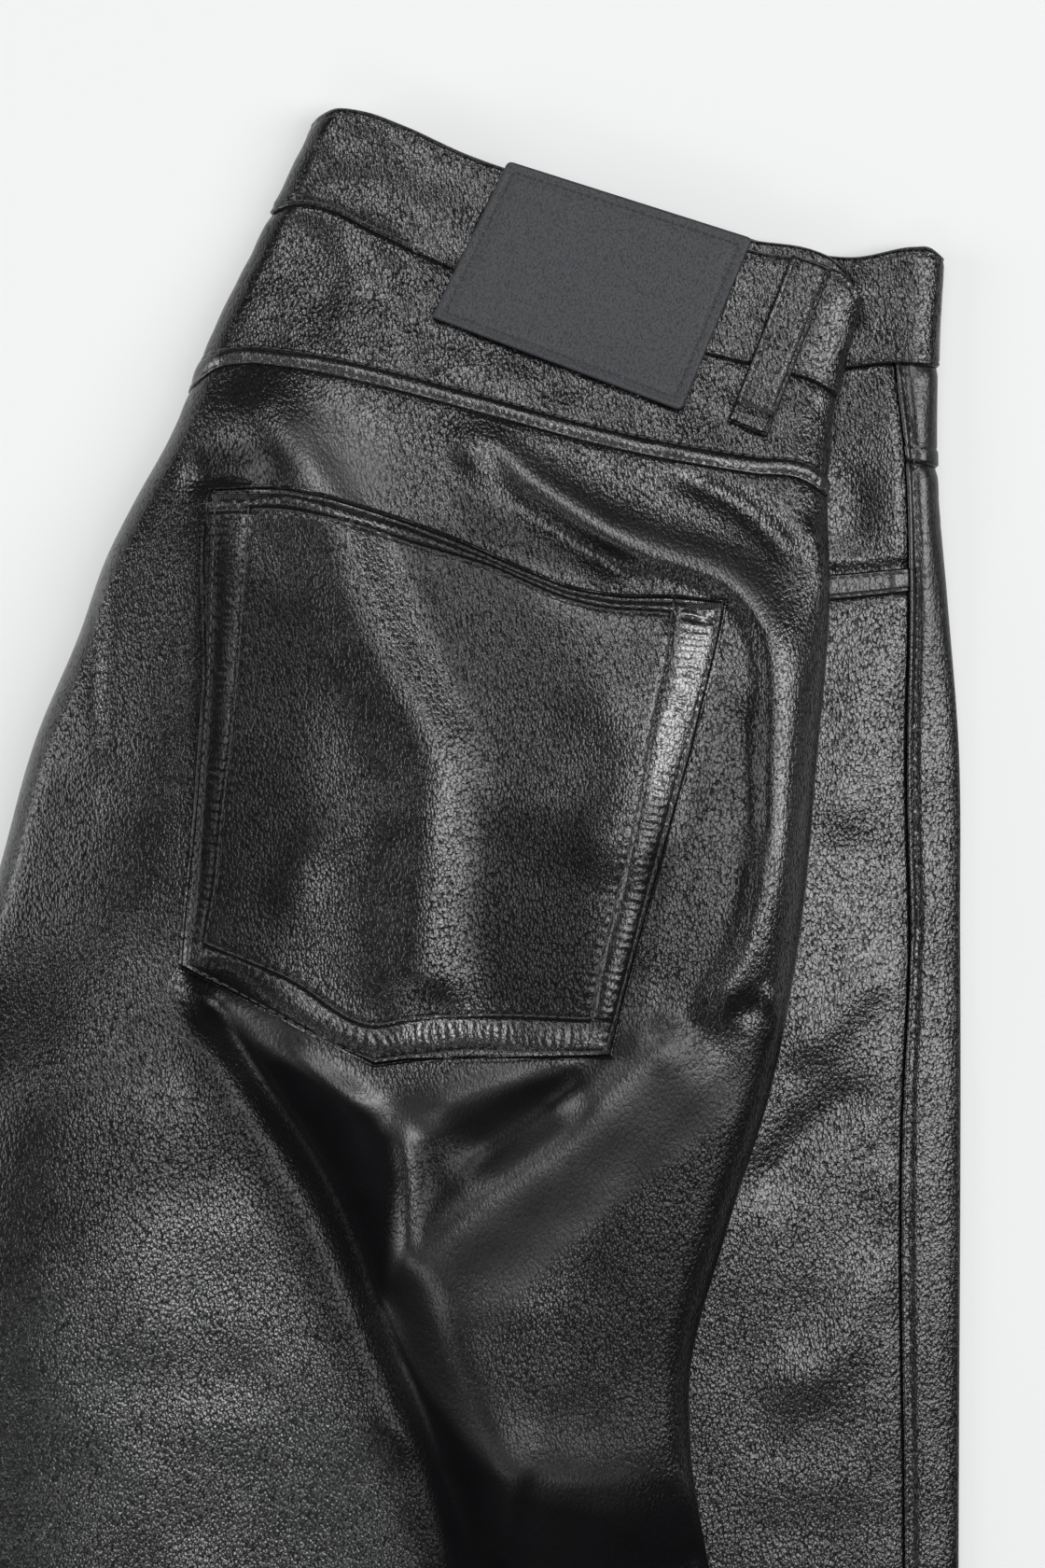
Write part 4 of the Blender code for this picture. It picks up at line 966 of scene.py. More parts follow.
def right_middle(grid, top, bottom):
    joined = JOINED(grid.down)
    stacked = joined * top / 2 + (1 - joined) * (top + bottom) / 2
    return np.where(grid.side < 0, stacked, (top + bottom) / 2)


def right_fold_turn(down):
    joined = JOINED(down)
    return joined * MEETING_TURN + (1 - joined) * SEAM_TURN


def right_columns(step):
    return [
        Edge(RIGHT_LEG, -1, right_fold_turn, right_fold_turn, [0, 0.5], [RIM, RIM_START]),
        Edge(RIGHT_LEG, -1, right_fold_turn, UP, spread(21, step)[:-1] + 0.02),
        Face(RIGHT_LEG.left_end, RIGHT_LEG.right_end, spread(200, step)),
        Edge(RIGHT_LEG, 1, UP, SEAM_TURN, spread(24, step)[1:-1]),
        Edge(RIGHT_LEG, 1, SEAM_TURN, SEAM_TURN, [0, 1], [RIM_START, RIM]),
    ]


def build_yoke():
    band = moved(RIGHT_YOKE_SEAM, -8)
    rows = [
        tucked_under(RIGHT_WAIST_SEAM),
        Rows(RIGHT_WAIST_SEAM, band, spread(40, 1.1)),
        Rows(band, RIGHT_YOKE_SEAM, spread(8, 0.45)[1:]),
        turned_in(RIGHT_YOKE_SEAM, 0.4, 1.2),
    ]
    grid = Grid(RIGHT_LEG, rows, right_columns(0.75), right_middle)
    above = RIGHT_YOKE_SEAM(grid.across) - grid.down
    # Painted highlight: the specular is turned up along the band's lower edge.
    shades = {"worn": 0.6 * hump(above, 2.4, 3), "painted_shade_and_highlight": -0.8 * hump(above, 1.8, 1.6)}
    return add_sheet("yoke_right_leather", grid.points(yoke_relief(grid)), BLACK, shades)


def build_back_panel():
    fine = moved(RIGHT_YOKE_SEAM, 7)
    rows = [
        tucked_under(RIGHT_YOKE_SEAM, 2, 0.6, (2.0, 1.0)),
        Rows(RIGHT_YOKE_SEAM, fine, spread(7, 0.75)),
        Rows(fine, level(VIEW_END), spread(340, 1.35)[1:]),
        *rows_to_hem(RIGHT_HEM_DOWN, 600, 5.5),
    ]
    grid = Grid(RIGHT_LEG, rows, right_columns(1.35), right_middle)
    # Painted shade and painted highlights from the listed zones.
    shades = {"worn": np.clip(fold_height(SMOOTH_ZONES, grid.across, grid.down), 0, 1), "painted_shade_and_highlight": painted_shade_and_highlight_at(grid)}
    return add_sheet("back_panel_right_leather", grid.points(panel_relief(grid)), BLACK, shades)


def pocket_shares(length):
    """Shares of a length, close together near its ends, where the pocket's edge falls away."""
    ends = np.array([0, 0.25, 0.6, 1.1]) / length
    return np.concatenate([ends, spread(length, 0.55)[2:-2], 1 - ends[::-1]])


def build_pocket():
    rows = [Rows(POCKET_TOP, pocket_bottom, pocket_shares(150))]
    grid = Grid(RIGHT_LEG, rows, [Face(POCKET_LEFT, POCKET_RIGHT, pocket_shares(160))])
    outline, _ = distance_to(Polyline(POCKET_OUTLINE), grid, 60)
    # Painted shade and painted highlights from the listed zones.
    shades = {"worn": 0.4 * hump(np.abs(outline), 6, 6), "painted_shade_and_highlight": painted_shade_and_highlight_at(grid)}
    return add_sheet("back_pocket_leather", grid.points(pocket_relief(grid)), BLACK, shades)


def build_front_panel_right():
    """The right front panel, which faces the left leg and the floor."""
    leg = tucked(RIGHT_LEG, FRONT_TUCK + LEATHER)
    rows = [
        Rows(moved(RIGHT_WAIST_SEAM, -1.5), moved(RIGHT_WAIST_SEAM, 1), [0, 1], depth=[1.5, 0]),
        Rows(moved(RIGHT_WAIST_SEAM, 1), level(200), spread(100, 4)[1:]),
        *rows_to_hem(RIGHT_HEM_DOWN, 880, 5.5, start=200),
    ]
    columns = [
        Edge(leg, -1, SEAM_TURN, SEAM_TURN, [0, 1], [RIM, RIM_START]),
        Edge(leg, -1, SEAM_TURN, DOWN, spread(14, 2.2)[1:-1]),
        Face(leg.left_end, leg.right_end, spread(200, 5), DOWN),
        Edge(leg, 1, DOWN, SEAM_TURN, spread(14, 2.2)[1:-1]),
        Edge(leg, 1, SEAM_TURN, SEAM_TURN, [0, 1], [RIM_START, RIM]),
    ]
    return add_sheet("front_panel_right_leather", Grid(leg, rows, columns).points()[:, ::-1], BLACK)


def rolled(line, radius):
    """The rows round a doubled edge, and the shift and depth of each. A negative radius rolls a lower edge."""
    roll = np.radians(np.linspace(90, -90, 9))
    return Rows(line, line, 0 * roll, radius * (1 - np.cos(roll)), abs(radius) * (1 - np.sin(roll)))


def hem_ring(name, leg, bottom_down):
    """A folded hem: doubled leather with a rounded lower edge and a row of stitches near its top."""
    top, bottom = level(bottom_down - HEM_HEIGHT), level(bottom_down)
    radius, turn = BAND / 2, 60.0
    rows = [
        turned_in(top, 1.6, 0.5, 0.0),
        Rows(top, moved(bottom, -radius), spread(24, 2.4)[1:-1]),
        rolled(bottom, -radius),
        Rows(moved(bottom, -radius), top, spread(24, 6)[1:], depth=BAND),
    ]
    columns = [
        Edge(leg, -1, -turn, turn, spread(10, 1.2)),
        Face(leg.left_end, leg.right_end, spread(230, 3)),
        Edge(leg, 1, turn, -turn, spread(10, 1.2)),
        Face(leg.right_end, leg.left_end, spread(230, 5), DOWN),
    ]
    grid = Grid(leg, rows, columns)
    relief = 0.3 * noise(grid.across, 40 * grid.up, 22, 41) * (grid.depth < 0.1)
    return add_sheet(name, grid.points(relief), BLACK, closed=True)


# ---- The left leg ----


def left_middle(grid, top, bottom):
    """Level of the left leg's side seams, which rises at the back fold to half the stack."""
    joined = np.where(grid.side < 0, np.maximum(JOINED(grid.down), 0) ** 2.2, 0.0)
    return joined * right_top(grid.across, grid.down) / 2 + (1 - joined) * top / 2


def left_front_middle(grid, top, bottom):
    joined = JOINED(grid.down)
    return joined * (top - 1.0) + (1 - joined) * top / 2


def left_back_columns():
    """From the side seam over the right edge, along the floor and up to the back seam or the inseam."""
    return [
        Face(SIDE_SEAM, SIDE_SEAM, [0, 0], depth=[1.4, 0.5]),
        Face(SIDE_SEAM, LEFT_LEG.right_end, spread(8, 1.1)),
        Edge(LEFT_LEG, 1, UP, DOWN, spread(26, 1.1)[1:]),
        Face(LEFT_LEG.right_end, LEFT_LEG.left_end, spread(240, 8)[1:-1], DOWN),
        Edge(LEFT_LEG, -1, DOWN, -MEETING_TURN, spread(20, 2.4)),
        Edge(LEFT_LEG, -1, -MEETING_TURN, -MEETING_TURN, [0], RIM),
    ]


def front_columns(step):
    """The strip of the left front that shows, turned in at the side seam."""
    return [Face(level(MOUTH_FROM), SIDE_SEAM, spread(58, step)), Face(SIDE_SEAM, SIDE_SEAM, [0], depth=1.5)]


def side_seam_relief(grid):
    """The lapped side seam: a raised edge, then a groove for the stitches, then a soft swell."""
    beside = grid.across - SIDE_SEAM(grid.down)
    stitched = smooth((SEAM_STITCHED_TO + 4 - grid.down) / 6)
    relief = (0.75 - 0.35 * (1 - stitched)) * hump(beside, 0.5, 1.0)
    relief -= 0.75 * hump(beside, SIDE_ROW, 0.9) * stitched + 0.9 * hump(beside, 1.9, 0.9) * (1 - stitched)
    relief += 0.35 * hump(beside, 5.0, 2.2)
    strength = stitched * (0.16 * hump(beside, SIDE_ROW, 1.6) + 0.10 * hump(beside, 5, 3))
    relief += strength * puckers(grid.down, beside, 2.7, 51)
    return relief * np.clip(grid.up, 0, 1)


def front_relief(grid):
    """Beside the side seam the front panel dips under the back panel's edge."""
    beside = SIDE_SEAM(grid.down) - grid.across
    relief = -0.9 * hump(beside, 0.0, 2.2) * np.clip(grid.up, 0, 1)
    return relief + 0.08 * hump(beside, SIDE_ROW, 1.0) * puckers(grid.down, beside, 2.7, 52)


def build_back_panel_left():
    rows = [
        tucked_under(LEFT_YOKE_SEAM, 2, 0.6, (2.0, 1.0)),
        Rows(LEFT_YOKE_SEAM, level(200), spread(60, 0.9)),
        Rows(level(200), level(VIEW_END), spread(286, 1.3)[1:]),
        *rows_to_hem(LEFT_HEM_DOWN, 620, 6),
    ]
    grid = Grid(LEFT_LEG, rows, left_back_columns(), left_middle)
    below = grid.down - LEFT_YOKE_SEAM(grid.across)
    top = -0.7 * hump(below, 0.0, 1.6) + 0.1 * hump(below, 8, 12) * noise(grid.across, grid.down * 2.2, 6, 61)
    points = grid.points(side_seam_relief(grid) + top * np.clip(1 + grid.up, 0, 1))
    return add_sheet("back_panel_left_leather", points, BLACK, {"worn": smooth((230 - grid.down) / 60) * 0.8})


def build_yoke_left():
    rows = [
        tucked_under(LEFT_WAIST_SEAM),
        Rows(LEFT_WAIST_SEAM, LEFT_YOKE_SEAM, spread(30, 0.8)),
        turned_in(LEFT_YOKE_SEAM, 0.4, 1.2),
    ]
    grid = Grid(LEFT_LEG, rows, left_back_columns(), left_middle)
    above = LEFT_YOKE_SEAM(grid.across) - grid.down
    relief = side_seam_relief(grid) + 0.3 * smooth((6 - above) / 1.2) + edge_roll(above, 0.9)
    relief -= 0.5 * hump(grid.down - LEFT_WAIST_SEAM(grid.across), 0, 1.8)
    relief -= 0.25 * hump(above, YOKE_BAND_LEFT, 0.6)
    return add_sheet("yoke_left_leather", grid.points(relief), BLACK, {"worn": np.full(above.shape, 0.8)})


def build_front_panel_left():
    """The left front panel: its upper face carries the right leg, and its right strip shows."""
    leg = tucked(LEFT_LEG, FRONT_TUCK)
    rows = [
        tucked_under(PANEL_TOP, 1.6, 0.6, (2.0, 1.0)),
        Rows(PANEL_TOP, level(VIEW_END), spread(300, 1.3)),
        *rows_to_hem(LEFT_HEM_DOWN, 620, 6),
    ]
    columns = [
        Edge(leg, -1, MEETING_TURN, UP, spread(20, 3)),
        Face(leg.left_end, level(MOUTH_FROM), spread(180, 8)[1:-1]),
        *front_columns(1.2),
    ]
    grid = Grid(leg, rows, columns, left_front_middle)
    relief = front_relief(grid) - 0.5 * hump(below_line(PANEL_TOP, grid), 0, 1.5)
    return add_sheet("front_panel_left_leather", grid.points(relief), BLACK)


def build_front_pocket():
    """The front pocket's facing, and the turned edge of its mouth, which lies over it."""
    columns = front_columns(0.8)
    rows = [
        tucked_under(LEFT_WAIST_SEAM, depth=(2.2, 1.6)),
        Rows(LEFT_WAIST_SEAM, moved(POCKET_MOUTH, 2), spread(66, 1.1), depth=0.8),
    ]
    grid = Grid(LEFT_LEG, rows, columns)
    relief = front_relief(grid) - 0.5 * hump(grid.down - LEFT_WAIST_SEAM(grid.across), 0, 2)
    relief -= 0.8 * hump(POCKET_MOUTH(grid.across) - grid.down, 0, 2.5)
    facing = add_sheet("pocket_facing_leather", grid.points(relief), BLACK)
    rows = [
        turned_in(POCKET_MOUTH, 2.0, 1.0),
        Rows(POCKET_MOUTH, PANEL_TOP, spread(7.5, 0.4)),
        turned_in(PANEL_TOP, 1.2),
    ]
    grid = Grid(LEFT_LEG, rows, columns)
    from_mouth = grid.down - POCKET_MOUTH(grid.across)
    from_panel = PANEL_TOP(grid.across) - POCKET_MOUTH(grid.across) - from_mouth
    relief = 0.7 + edge_roll(from_mouth, 1.0) + 0.7 * edge_roll(from_panel, 1.0)
    relief -= 0.3 * hump(from_mouth, EDGE_ROW, 0.4) + 0.3 * hump(from_panel, EDGE_ROW, 0.4)
    relief += 0.12 * puckers(grid.across, from_mouth, 2.4, 71)
    points = grid.points(relief + front_relief(grid))
    mouth = add_sheet("pocket_mouth_leather", points, BLACK, {"worn": np.full(relief.shape, 0.7)})
    return facing, mouth


# ---- Waistband, patch and belt loop ----


def waist_rows(waist, seam):
    """Up the outside of the band, over its rolled top and down its inside."""
    return [
        turned_in(seam, 1.6, 0.6),
        Rows(seam, moved(waist, WAIST_ROLL), spread(34, 0.85)[:-1]),
        rolled(waist, WAIST_ROLL),
        Rows(moved(waist, WAIST_ROLL), seam, spread(34, 2.2)[1:], depth=BAND),
    ]


def band_relief(grid, waist, seam):
    """The waistband stands proud of what hangs from it, with a stitched groove along each edge."""
    above, below = -below_line(seam, grid), below_line(waist, grid)
    along = grid.across - 300 * (grid.up < 0)  # so that the layer below is uneven in its own way
    relief = 0.5 + edge_roll(above, 0.9)
    relief -= 0.3 * hump(above, WAIST_ROW, 0.6) + 0.3 * hump(below, WAIST_TOP_ROW, 0.6)
    relief += 0.10 * hump(above, 1.2, 2.4) * puckers(along, above, 3.0, 81)
    relief += 0.08 * hump(below, 2.0, 2.6) * puckers(along, below, 3.0, 83)
    relief += 0.3 * noise(along, 1.5 * grid.down, 16, 85) + 0.3 * noise(along, grid.down, 7, 86)
    return relief * (grid.depth < 0.1)


def front_waist(across):
    """The right front's waist."""
    return RIGHT_WAIST(across) - WAIST_STEP(across)


def left_waist(across):
    held = WAIST_TUCK - WAIST_RELEASE * smooth((across - RELEASE_FROM) / RELEASE_OVER)
    return np.maximum(LEFT_WAIST(across), RIGHT_WAIST(across) + held)


def centre_front(down):
    return BACK_FOLD(down) + FRONT_TUCK + BAND


def centre_fold(grid):
    """The sharp inward fold at the centre front, where the band turns from the right leg down to the left."""
    turn = np.radians([-50.0, 0.0, 50.0]) + 0 * grid.across
    grid.side = np.ones_like(turn)
    grid.out, grid.up = np.cos(turn), np.sin(turn)
    grid.across = grid.across - grid.out
    middle = (right_bottom(grid.across, grid.down) + left_top(grid.across, grid.down)) / 2
    grid.height = middle - grid.up * LAYER_GAP / 2
    return grid


def build_waistband():
    """One band: round the right leg's back and front, through the centre fold, then the left leg."""
    right_back = [
        Edge(RIGHT_LEG, -1, right_fold_turn, UP, spread(18, 0.9)),
        Face(RIGHT_LEG.left_end, RIGHT_LEG.right_end, spread(160, 0.95)[1:-1]),
        Edge(RIGHT_LEG, 1, UP, SEAM_TURN, spread(22, 0.9)),
    ]
    right_front = [
        Edge(RIGHT_LEG, 1, -55.0, DOWN, [0, 1]),
        Face(RIGHT_LEG.right_end, centre_front, spread(150, 3)[1:], DOWN),
    ]
    left = [
        Face(centre_front, level(MOUTH_FROM), spread(120, 5)),
        Face(level(MOUTH_FROM), moved(SIDE_SEAM, -0.2), spread(55, 0.9)[1:]),
        Face(moved(SIDE_SEAM, 0.2), LEFT_LEG.right_end, spread(7, 0.9)),
        Edge(LEFT_LEG, 1, UP, DOWN, spread(20, 1.1)[1:]),
        Face(LEFT_LEG.right_end, LEFT_LEG.left_end, spread(190, 4)[1:-1], DOWN),
        Edge(LEFT_LEG, -1, DOWN, -MEETING_TURN, spread(16, 1.5)),
    ]
    centre = [Face(centre_front, centre_front, [0, 0, 0])]
    parts = (
        (RIGHT_LEG, RIGHT_WAIST, RIGHT_WAIST_SEAM, right_back, right_middle),
        (RIGHT_LEG, front_waist, RIGHT_WAIST_SEAM, right_front, right_middle),
        (LEFT_LEG, left_waist, LEFT_WAIST_SEAM, centre, left_middle),
        (LEFT_LEG, left_waist, LEFT_WAIST_SEAM, left, left_middle),
    )
    made = []
    for leg, waist, seam, columns, middle in parts:
        grid = Grid(leg, waist_rows(waist, seam), columns, middle)
        if columns is centre:
            grid = centre_fold(grid)
        made.append(grid.points(band_relief(grid, waist, seam)))
    return add_sheet("waistband_leather", np.concatenate(made, axis=1)[::-1], BLACK, closed=True)


PATCH_CORNERS = ((155.6, 49.5), (230.4, 73.2), (208.4, 126.2), (132.2, 97.6))
LOOP_TOP, LOOP_BOTTOM = np.array([248.6, 80.2]), np.array([228.6, 131.8])


def patch_plan(u, v):
    """Where shares of the patch's width and height lie in plan."""
    return [
        (1 - v) * ((1 - u) * top_left + u * top_right) + v * ((1 - u) * bottom_left + u * bottom_right)
        for top_left, top_right, bottom_right, bottom_left in zip(*PATCH_CORNERS)
    ]


def rounded_ends(length, radius, step):
    """Shares of a length, close together near its ends, where a rounded edge falls away."""
    ends = radius * (1 - np.cos(np.radians([0, 25, 45, 65, 85]))) / length
    return np.concatenate([ends, spread(length, step)[1:-1], 1 - ends[::-1]])


def corner_pull(u, v, width, height, radius):
    """Draws a rectangle's corners in to an arc: new shares of its width and height."""
    x, y = (u - 0.5) * width, (v - 0.5) * height
    inner_x, inner_y = width / 2 - radius, height / 2 - radius
    over_x, over_y = np.maximum(np.abs(x) - inner_x, 0), np.maximum(np.abs(y) - inner_y, 0)
    square = np.maximum(np.maximum(over_x, over_y), 1e-9)
    pull = np.where((over_x > 0) & (over_y > 0), square / np.maximum(np.hypot(over_x, over_y), 1e-9), 1.0)
    x = np.sign(x) * (np.minimum(np.abs(x), inner_x) + over_x * pull)
    y = np.sign(y) * (np.minimum(np.abs(y), inner_y) + over_y * pull)
    return x / width + 0.5, y / height + 0.5


def build_patch():
    """A stiff plain patch with a bevelled edge, closed underneath. It bridges the small creases below it."""
    width, height = PATCH_WIDTH, PATCH_HEIGHT
    u = rounded_ends(width, PATCH_EDGE_ROUND, 1.6)[None, :]
    v = rounded_ends(height, PATCH_EDGE_ROUND, 1.6)[:, None]
    u, v = np.broadcast_arrays(u, v)
    inset = np.minimum(np.minimum(u, 1 - u) * width, np.minimum(v, 1 - v) * height)
    across, down = patch_plan(*corner_pull(u, v, width, height, PATCH_CORNER_ROUND))
    base = right_base(across, down) + 0.5 + PATCH_LIFT
    relief = edge_roll(inset, PATCH_EDGE_ROUND) - 0.4 * hump(inset, PATCH_ROW, 0.6)
    top = frame_points(across, down, base + PATCH_THICKNESS + relief)
    return add_slab("back_patch_leather", top, frame_points(across, down, base), MATT)


def loop_frame():
    """The belt loop's direction in plan, the direction square to it, and its length."""
    along = LOOP_BOTTOM - LOOP_TOP
    length = np.hypot(*along)
    return along / length, np.array([-along[1], along[0]]) / length, length


def build_belt_loop():
    """A folded strip with raised stitched edges, its lower end turned under."""
    along, square, length = loop_frame()
    share = rounded_ends(length, 1.2, 0.7)[:, None]
    offset = (rounded_ends(LOOP_WIDTH, 0.9, 0.5)[None, :] - 0.5) * LOOP_WIDTH
    across = LOOP_TOP[0] + share * length * along[0] - offset * square[0]
    down = LOOP_TOP[1] + share * length * along[1] - offset * square[1]
    turn = np.clip((RIGHT_SIDE(down) - across) / RIGHT_LEG.right_round(down), 0, 1)
    high, low = right_top(across, down), right_bottom(across, down)
    surface = (high + low) / 2 + np.sqrt(1 - (1 - turn) ** 2) * (high - low) / 2
    base = surface + 0.9 + 1.1 * np.sin(math.pi * share)
    edge = LOOP_WIDTH / 2 - np.abs(offset)
    end = share * length
    inset = np.minimum(edge, np.minimum(end, length - end))
    relief = edge_roll(inset, 0.9) - 0.35 * hump(edge, LOOP_ROW, 0.5) + 0.35 * hump(edge, 1.0, 0.9)
    relief += 0.35 * hump(length - end, 3.0, 3.2) - 0.4 * hump(length - end, LOOP_TURN_UP, 0.9)
    relief += 0.10 * puckers(end + 0 * offset, offset + 0 * end, 3.0, 91)
    top = frame_points(across, down, base + LEATHER + relief)
    return add_slab("belt_loop_leather", top, frame_points(across, down, base), BLACK)


# ---- Stitching ----


def stitch_shape(sides=6, rings=5):
    """One stitch as a short bead, from -0.5 to 0.5 along, with unit half-width and height."""
    along = np.linspace(-1, 1, rings)
    girth = np.sqrt(np.maximum(1 - np.abs(along) ** 3, 0.04))
    angle = np.linspace(0, 2 * math.pi, sides, endpoint=False)
    ring = np.stack([np.cos(angle), np.sin(angle)], axis=-1)
    points = [(0.5 * a, g * y, g * z - 0.55 * a * a) for a, g in zip(along, girth) for y, z in ring]
    faces = []
    for i in range(rings - 1):
        for j in range(sides):
            k = (j + 1) % sides
            faces.append((i * sides + j, i * sides + k, (i + 1) * sides + k, (i + 1) * sides + j))
    return np.array(points), np.array(faces)


class Sewing:
    """Gathers stitches from many rows into one mesh."""

    def __init__(self):
        self.shape, self.faces = stitch_shape()
        self.points, self.count = [], 0

    def stitch(self, first, second, normal, half_width=0.36, half_height=0.34, sink=-0.12):
        """One stitch between two points in frame metres."""
        along = second - first
        length = np.linalg.norm(along)
        tangent = along / length
        side = np.cross(normal, tangent)
        side /= np.linalg.norm(side)
        out = np.cross(tangent, side)
        x, y, z = self.shape.T
        centre = (first + second) / 2 + out * (-sink * MM)
        self.points.append(
            centre + np.outer(x * length, tangent) + np.outer(y * half_width * MM, side)
            + np.outer(z * half_height * MM, out)
        )
        self.count += 1

    def row(self, surface, plan, pitch=STITCH_PITCH, fill=0.86, seed=1, **size):
        """A row of stitches along plan points, laid on a surface from above."""
        path = plan if isinstance(plan, Path) else Path(plan)
        count = max(1, int(round(path.length / pitch)))
        jitter = np.random.default_rng(seed).uniform(-0.06, 0.06, count)
        for k in range(count):
            middle = (k + 0.5 + jitter[k]) * path.length / count
            half = 0.5 * fill * path.length / count
            self.laid(surface, path.at(middle - half), path.at(middle + half), **size)

    def laid(self, surface, start, end, **size):
        hits = [drop(surface, *place) for place in (start, end)]
        if all(hits):
            (first, normal), (second, other) = hits
            self.stitch(first, second, (normal + other) / 2, **size)

    def bartack(self, surface, start, end, width, pitch=0.62):
        """A close zigzag of threads from start to end."""
        start, end = np.array(start, float), np.array(end, float)
        length = np.hypot(*(end - start))
        unit = (end - start) / length
        square = np.array([-unit[1], unit[0]])
        for k in range(int(length / pitch) + 1):
            centre = start + unit * k * pitch
            lean = unit * pitch * 0.3
            self.laid(
                surface, centre - square * width / 2 - lean, centre + square * width / 2 + lean,
                half_width=0.24, half_height=0.3, sink=-0.1,
            )

    def build(self, name, material):
        count = len(self.shape)
        faces = np.concatenate([self.faces + k * count for k in range(self.count)])
        return add_mesh(name, np.concatenate(self.points), faces, material)


def drop(surface, across, down):
    """Where a vertical line meets a surface from above, and the surface's direction there."""
    x, y, _ = frame_points(np.float64(across), np.float64(down), np.float64(0))
    place, normal, _, _ = surface.ray_cast(Vector((x, y, 0.2)), Vector((0, 0, -1)))
    if place is None:
        return None
    normal = np.array(normal)
    return np.array(place), normal if normal[2] > 0 else -normal


def along_line(line, start, end, shift=0.0, step=3.0):
    """Plan points along a line across the garment, moved square to it by a shift (down is positive)."""
    across = np.linspace(start, end, max(2, int((end - start) / step)))
    slope = (line(across + 1) - line(across - 1)) / 2
    length = np.hypot(1, slope)
    return np.stack([across - shift * slope / length, line(across) + shift / length], axis=-1)


def inset_outline(points, inset):
    """A closed outline drawn in by a distance, with its corners kept."""
    points = np.array(points[:-1], float)
    before = points - np.roll(points, 1, axis=0)
    after = np.roll(points, -1, axis=0) - points
    before /= np.hypot(*before.T)[:, None]
    after /= np.hypot(*after.T)[:, None]
    normal = np.stack([-(before + after)[:, 1], (before + after)[:, 0]], axis=-1)
    normal /= np.hypot(*normal.T)[:, None]
    reach = inset / np.maximum((normal * np.stack([-after[:, 1], after[:, 0]], axis=-1)).sum(1), 0.3)
    inner = points + normal * reach[:, None]
    return np.concatenate([inner, inner[:1]])


# Rows of stitches along the seams that run across. Columns: piece, line, its ends, distance below it.
SEAM_ROWS = (
    ("yoke_right", RIGHT_YOKE_SEAM, 64, 252, -YOKE_BAND),
    ("yoke_right", RIGHT_YOKE_SEAM, 62, 253, -EDGE_ROW),
    ("waistband", RIGHT_WAIST, 97, 262, WAIST_TOP_ROW),
    ("waistband", RIGHT_WAIST_SEAM, 84, 256, -WAIST_ROW),
    ("waistband", LEFT_WAIST, 262, 289, WAIST_TOP_ROW),
    ("waistband", LEFT_WAIST_SEAM, 257, 288, -WAIST_ROW),
)

# The pieces that stitches are laid on, besides the left side seam's two.
STITCHED = (
    "yoke_right", "waistband", "back_pocket_right", "yoke_left", "pocket_mouth_left", "back_patch",
    "belt_loop_side", "hem_right", "hem_left",
)


def sew(pieces):
    """All rows of stitches and bar tacks, as one piece. Each row has its own seed."""
    thread = Sewing()
    surfaces = {node: surface_of(pieces[node]) for node in STITCHED}
    for seed, (node, line, start, end, shift) in enumerate(SEAM_ROWS, 2):
        thread.row(surfaces[node], along_line(line, start, end, shift), seed=seed)
    pocket = surfaces["back_pocket_right"]
    thread.row(pocket, Polyline(inset_outline(POCKET_OUTLINE, POCKET_EDGE_ROW)), seed=8)
    for seed, (points, _, _) in enumerate(POCKET_BANDS, 9):
        thread.row(pocket, points, seed=seed)
    left = surface_of(pieces["back_panel_left"], pieces["yoke_left"])
    down = np.arange(113, SEAM_STITCHED_TO, 4.0)
    thread.row(left, np.stack([SIDE_SEAM(down) + SIDE_ROW, down], axis=-1), seed=14)
    thread.row(surfaces["yoke_left"], along_line(LEFT_YOKE_SEAM, 280, 288, -YOKE_BAND_LEFT, 2.0), seed=15)
    mouth = surfaces["pocket_mouth_left"]
    thread.row(mouth, along_line(POCKET_MOUTH, 250, 277, EDGE_ROW), seed=16)
    thread.row(mouth, along_line(PANEL_TOP, 250, 277, -EDGE_ROW), seed=17)
    thread.bartack(mouth, (273.6, 174.6), (273.6, 181.0), 2.4)
    thread.bartack(pocket, (210.2, 185.6), (221.2, 185.9), 2.2)
    thread.bartack(pocket, (65.6, 152.4), (76.4, 152.6), 2.2)
    corners = []
    for u, v in ((0, 0), (1, 0), (1, 1), (0, 1), (0, 0)):
        u = (PATCH_ROW + u * (PATCH_WIDTH - 2 * PATCH_ROW)) / PATCH_WIDTH
        v = (PATCH_ROW + v * (PATCH_HEIGHT - 2 * PATCH_ROW)) / PATCH_HEIGHT
        corners.append(patch_plan(u, v))
    thread.row(surfaces["back_patch"], Polyline(corners), pitch=2.5, seed=18)
    loop = surfaces["belt_loop_side"]
    along, square, length = loop_frame()
    for side in (-1, 1):
        start = LOOP_TOP + square * side * (LOOP_WIDTH / 2 - LOOP_ROW) + along * 1
        thread.row(loop, [start, start + along * (length - 9)], seed=20 + side)
    tack = LOOP_TOP + along * (length - LOOP_TURN_UP)
    thread.bartack(loop, tack - square * 5.2, tack + square * 5.2, 1.8)
    for seed, node, first, last, hem_down in (
        (23, "hem_right", 12, 242, RIGHT_HEM_DOWN), (24, "hem_left", 46, 286, LEFT_HEM_DOWN),
    ):
        thread.row(surfaces[node], [(first, hem_down - HEM_ROW), (last, hem_down - HEM_ROW)], seed=seed)
    return thread.build("stitching", THREAD)


# ---- Stage ----


FLOOR_HALF = 4.0  # in metres
WHITE_BOARD = {
    "Base Color": (0.30, 0.30, 0.30, 1.0), "Roughness": 0.9, "Specular IOR Level": 0.0,
    "Emission Color": (0.98, 0.99, 1.0, 1.0), "Emission Strength": 0.435,
}


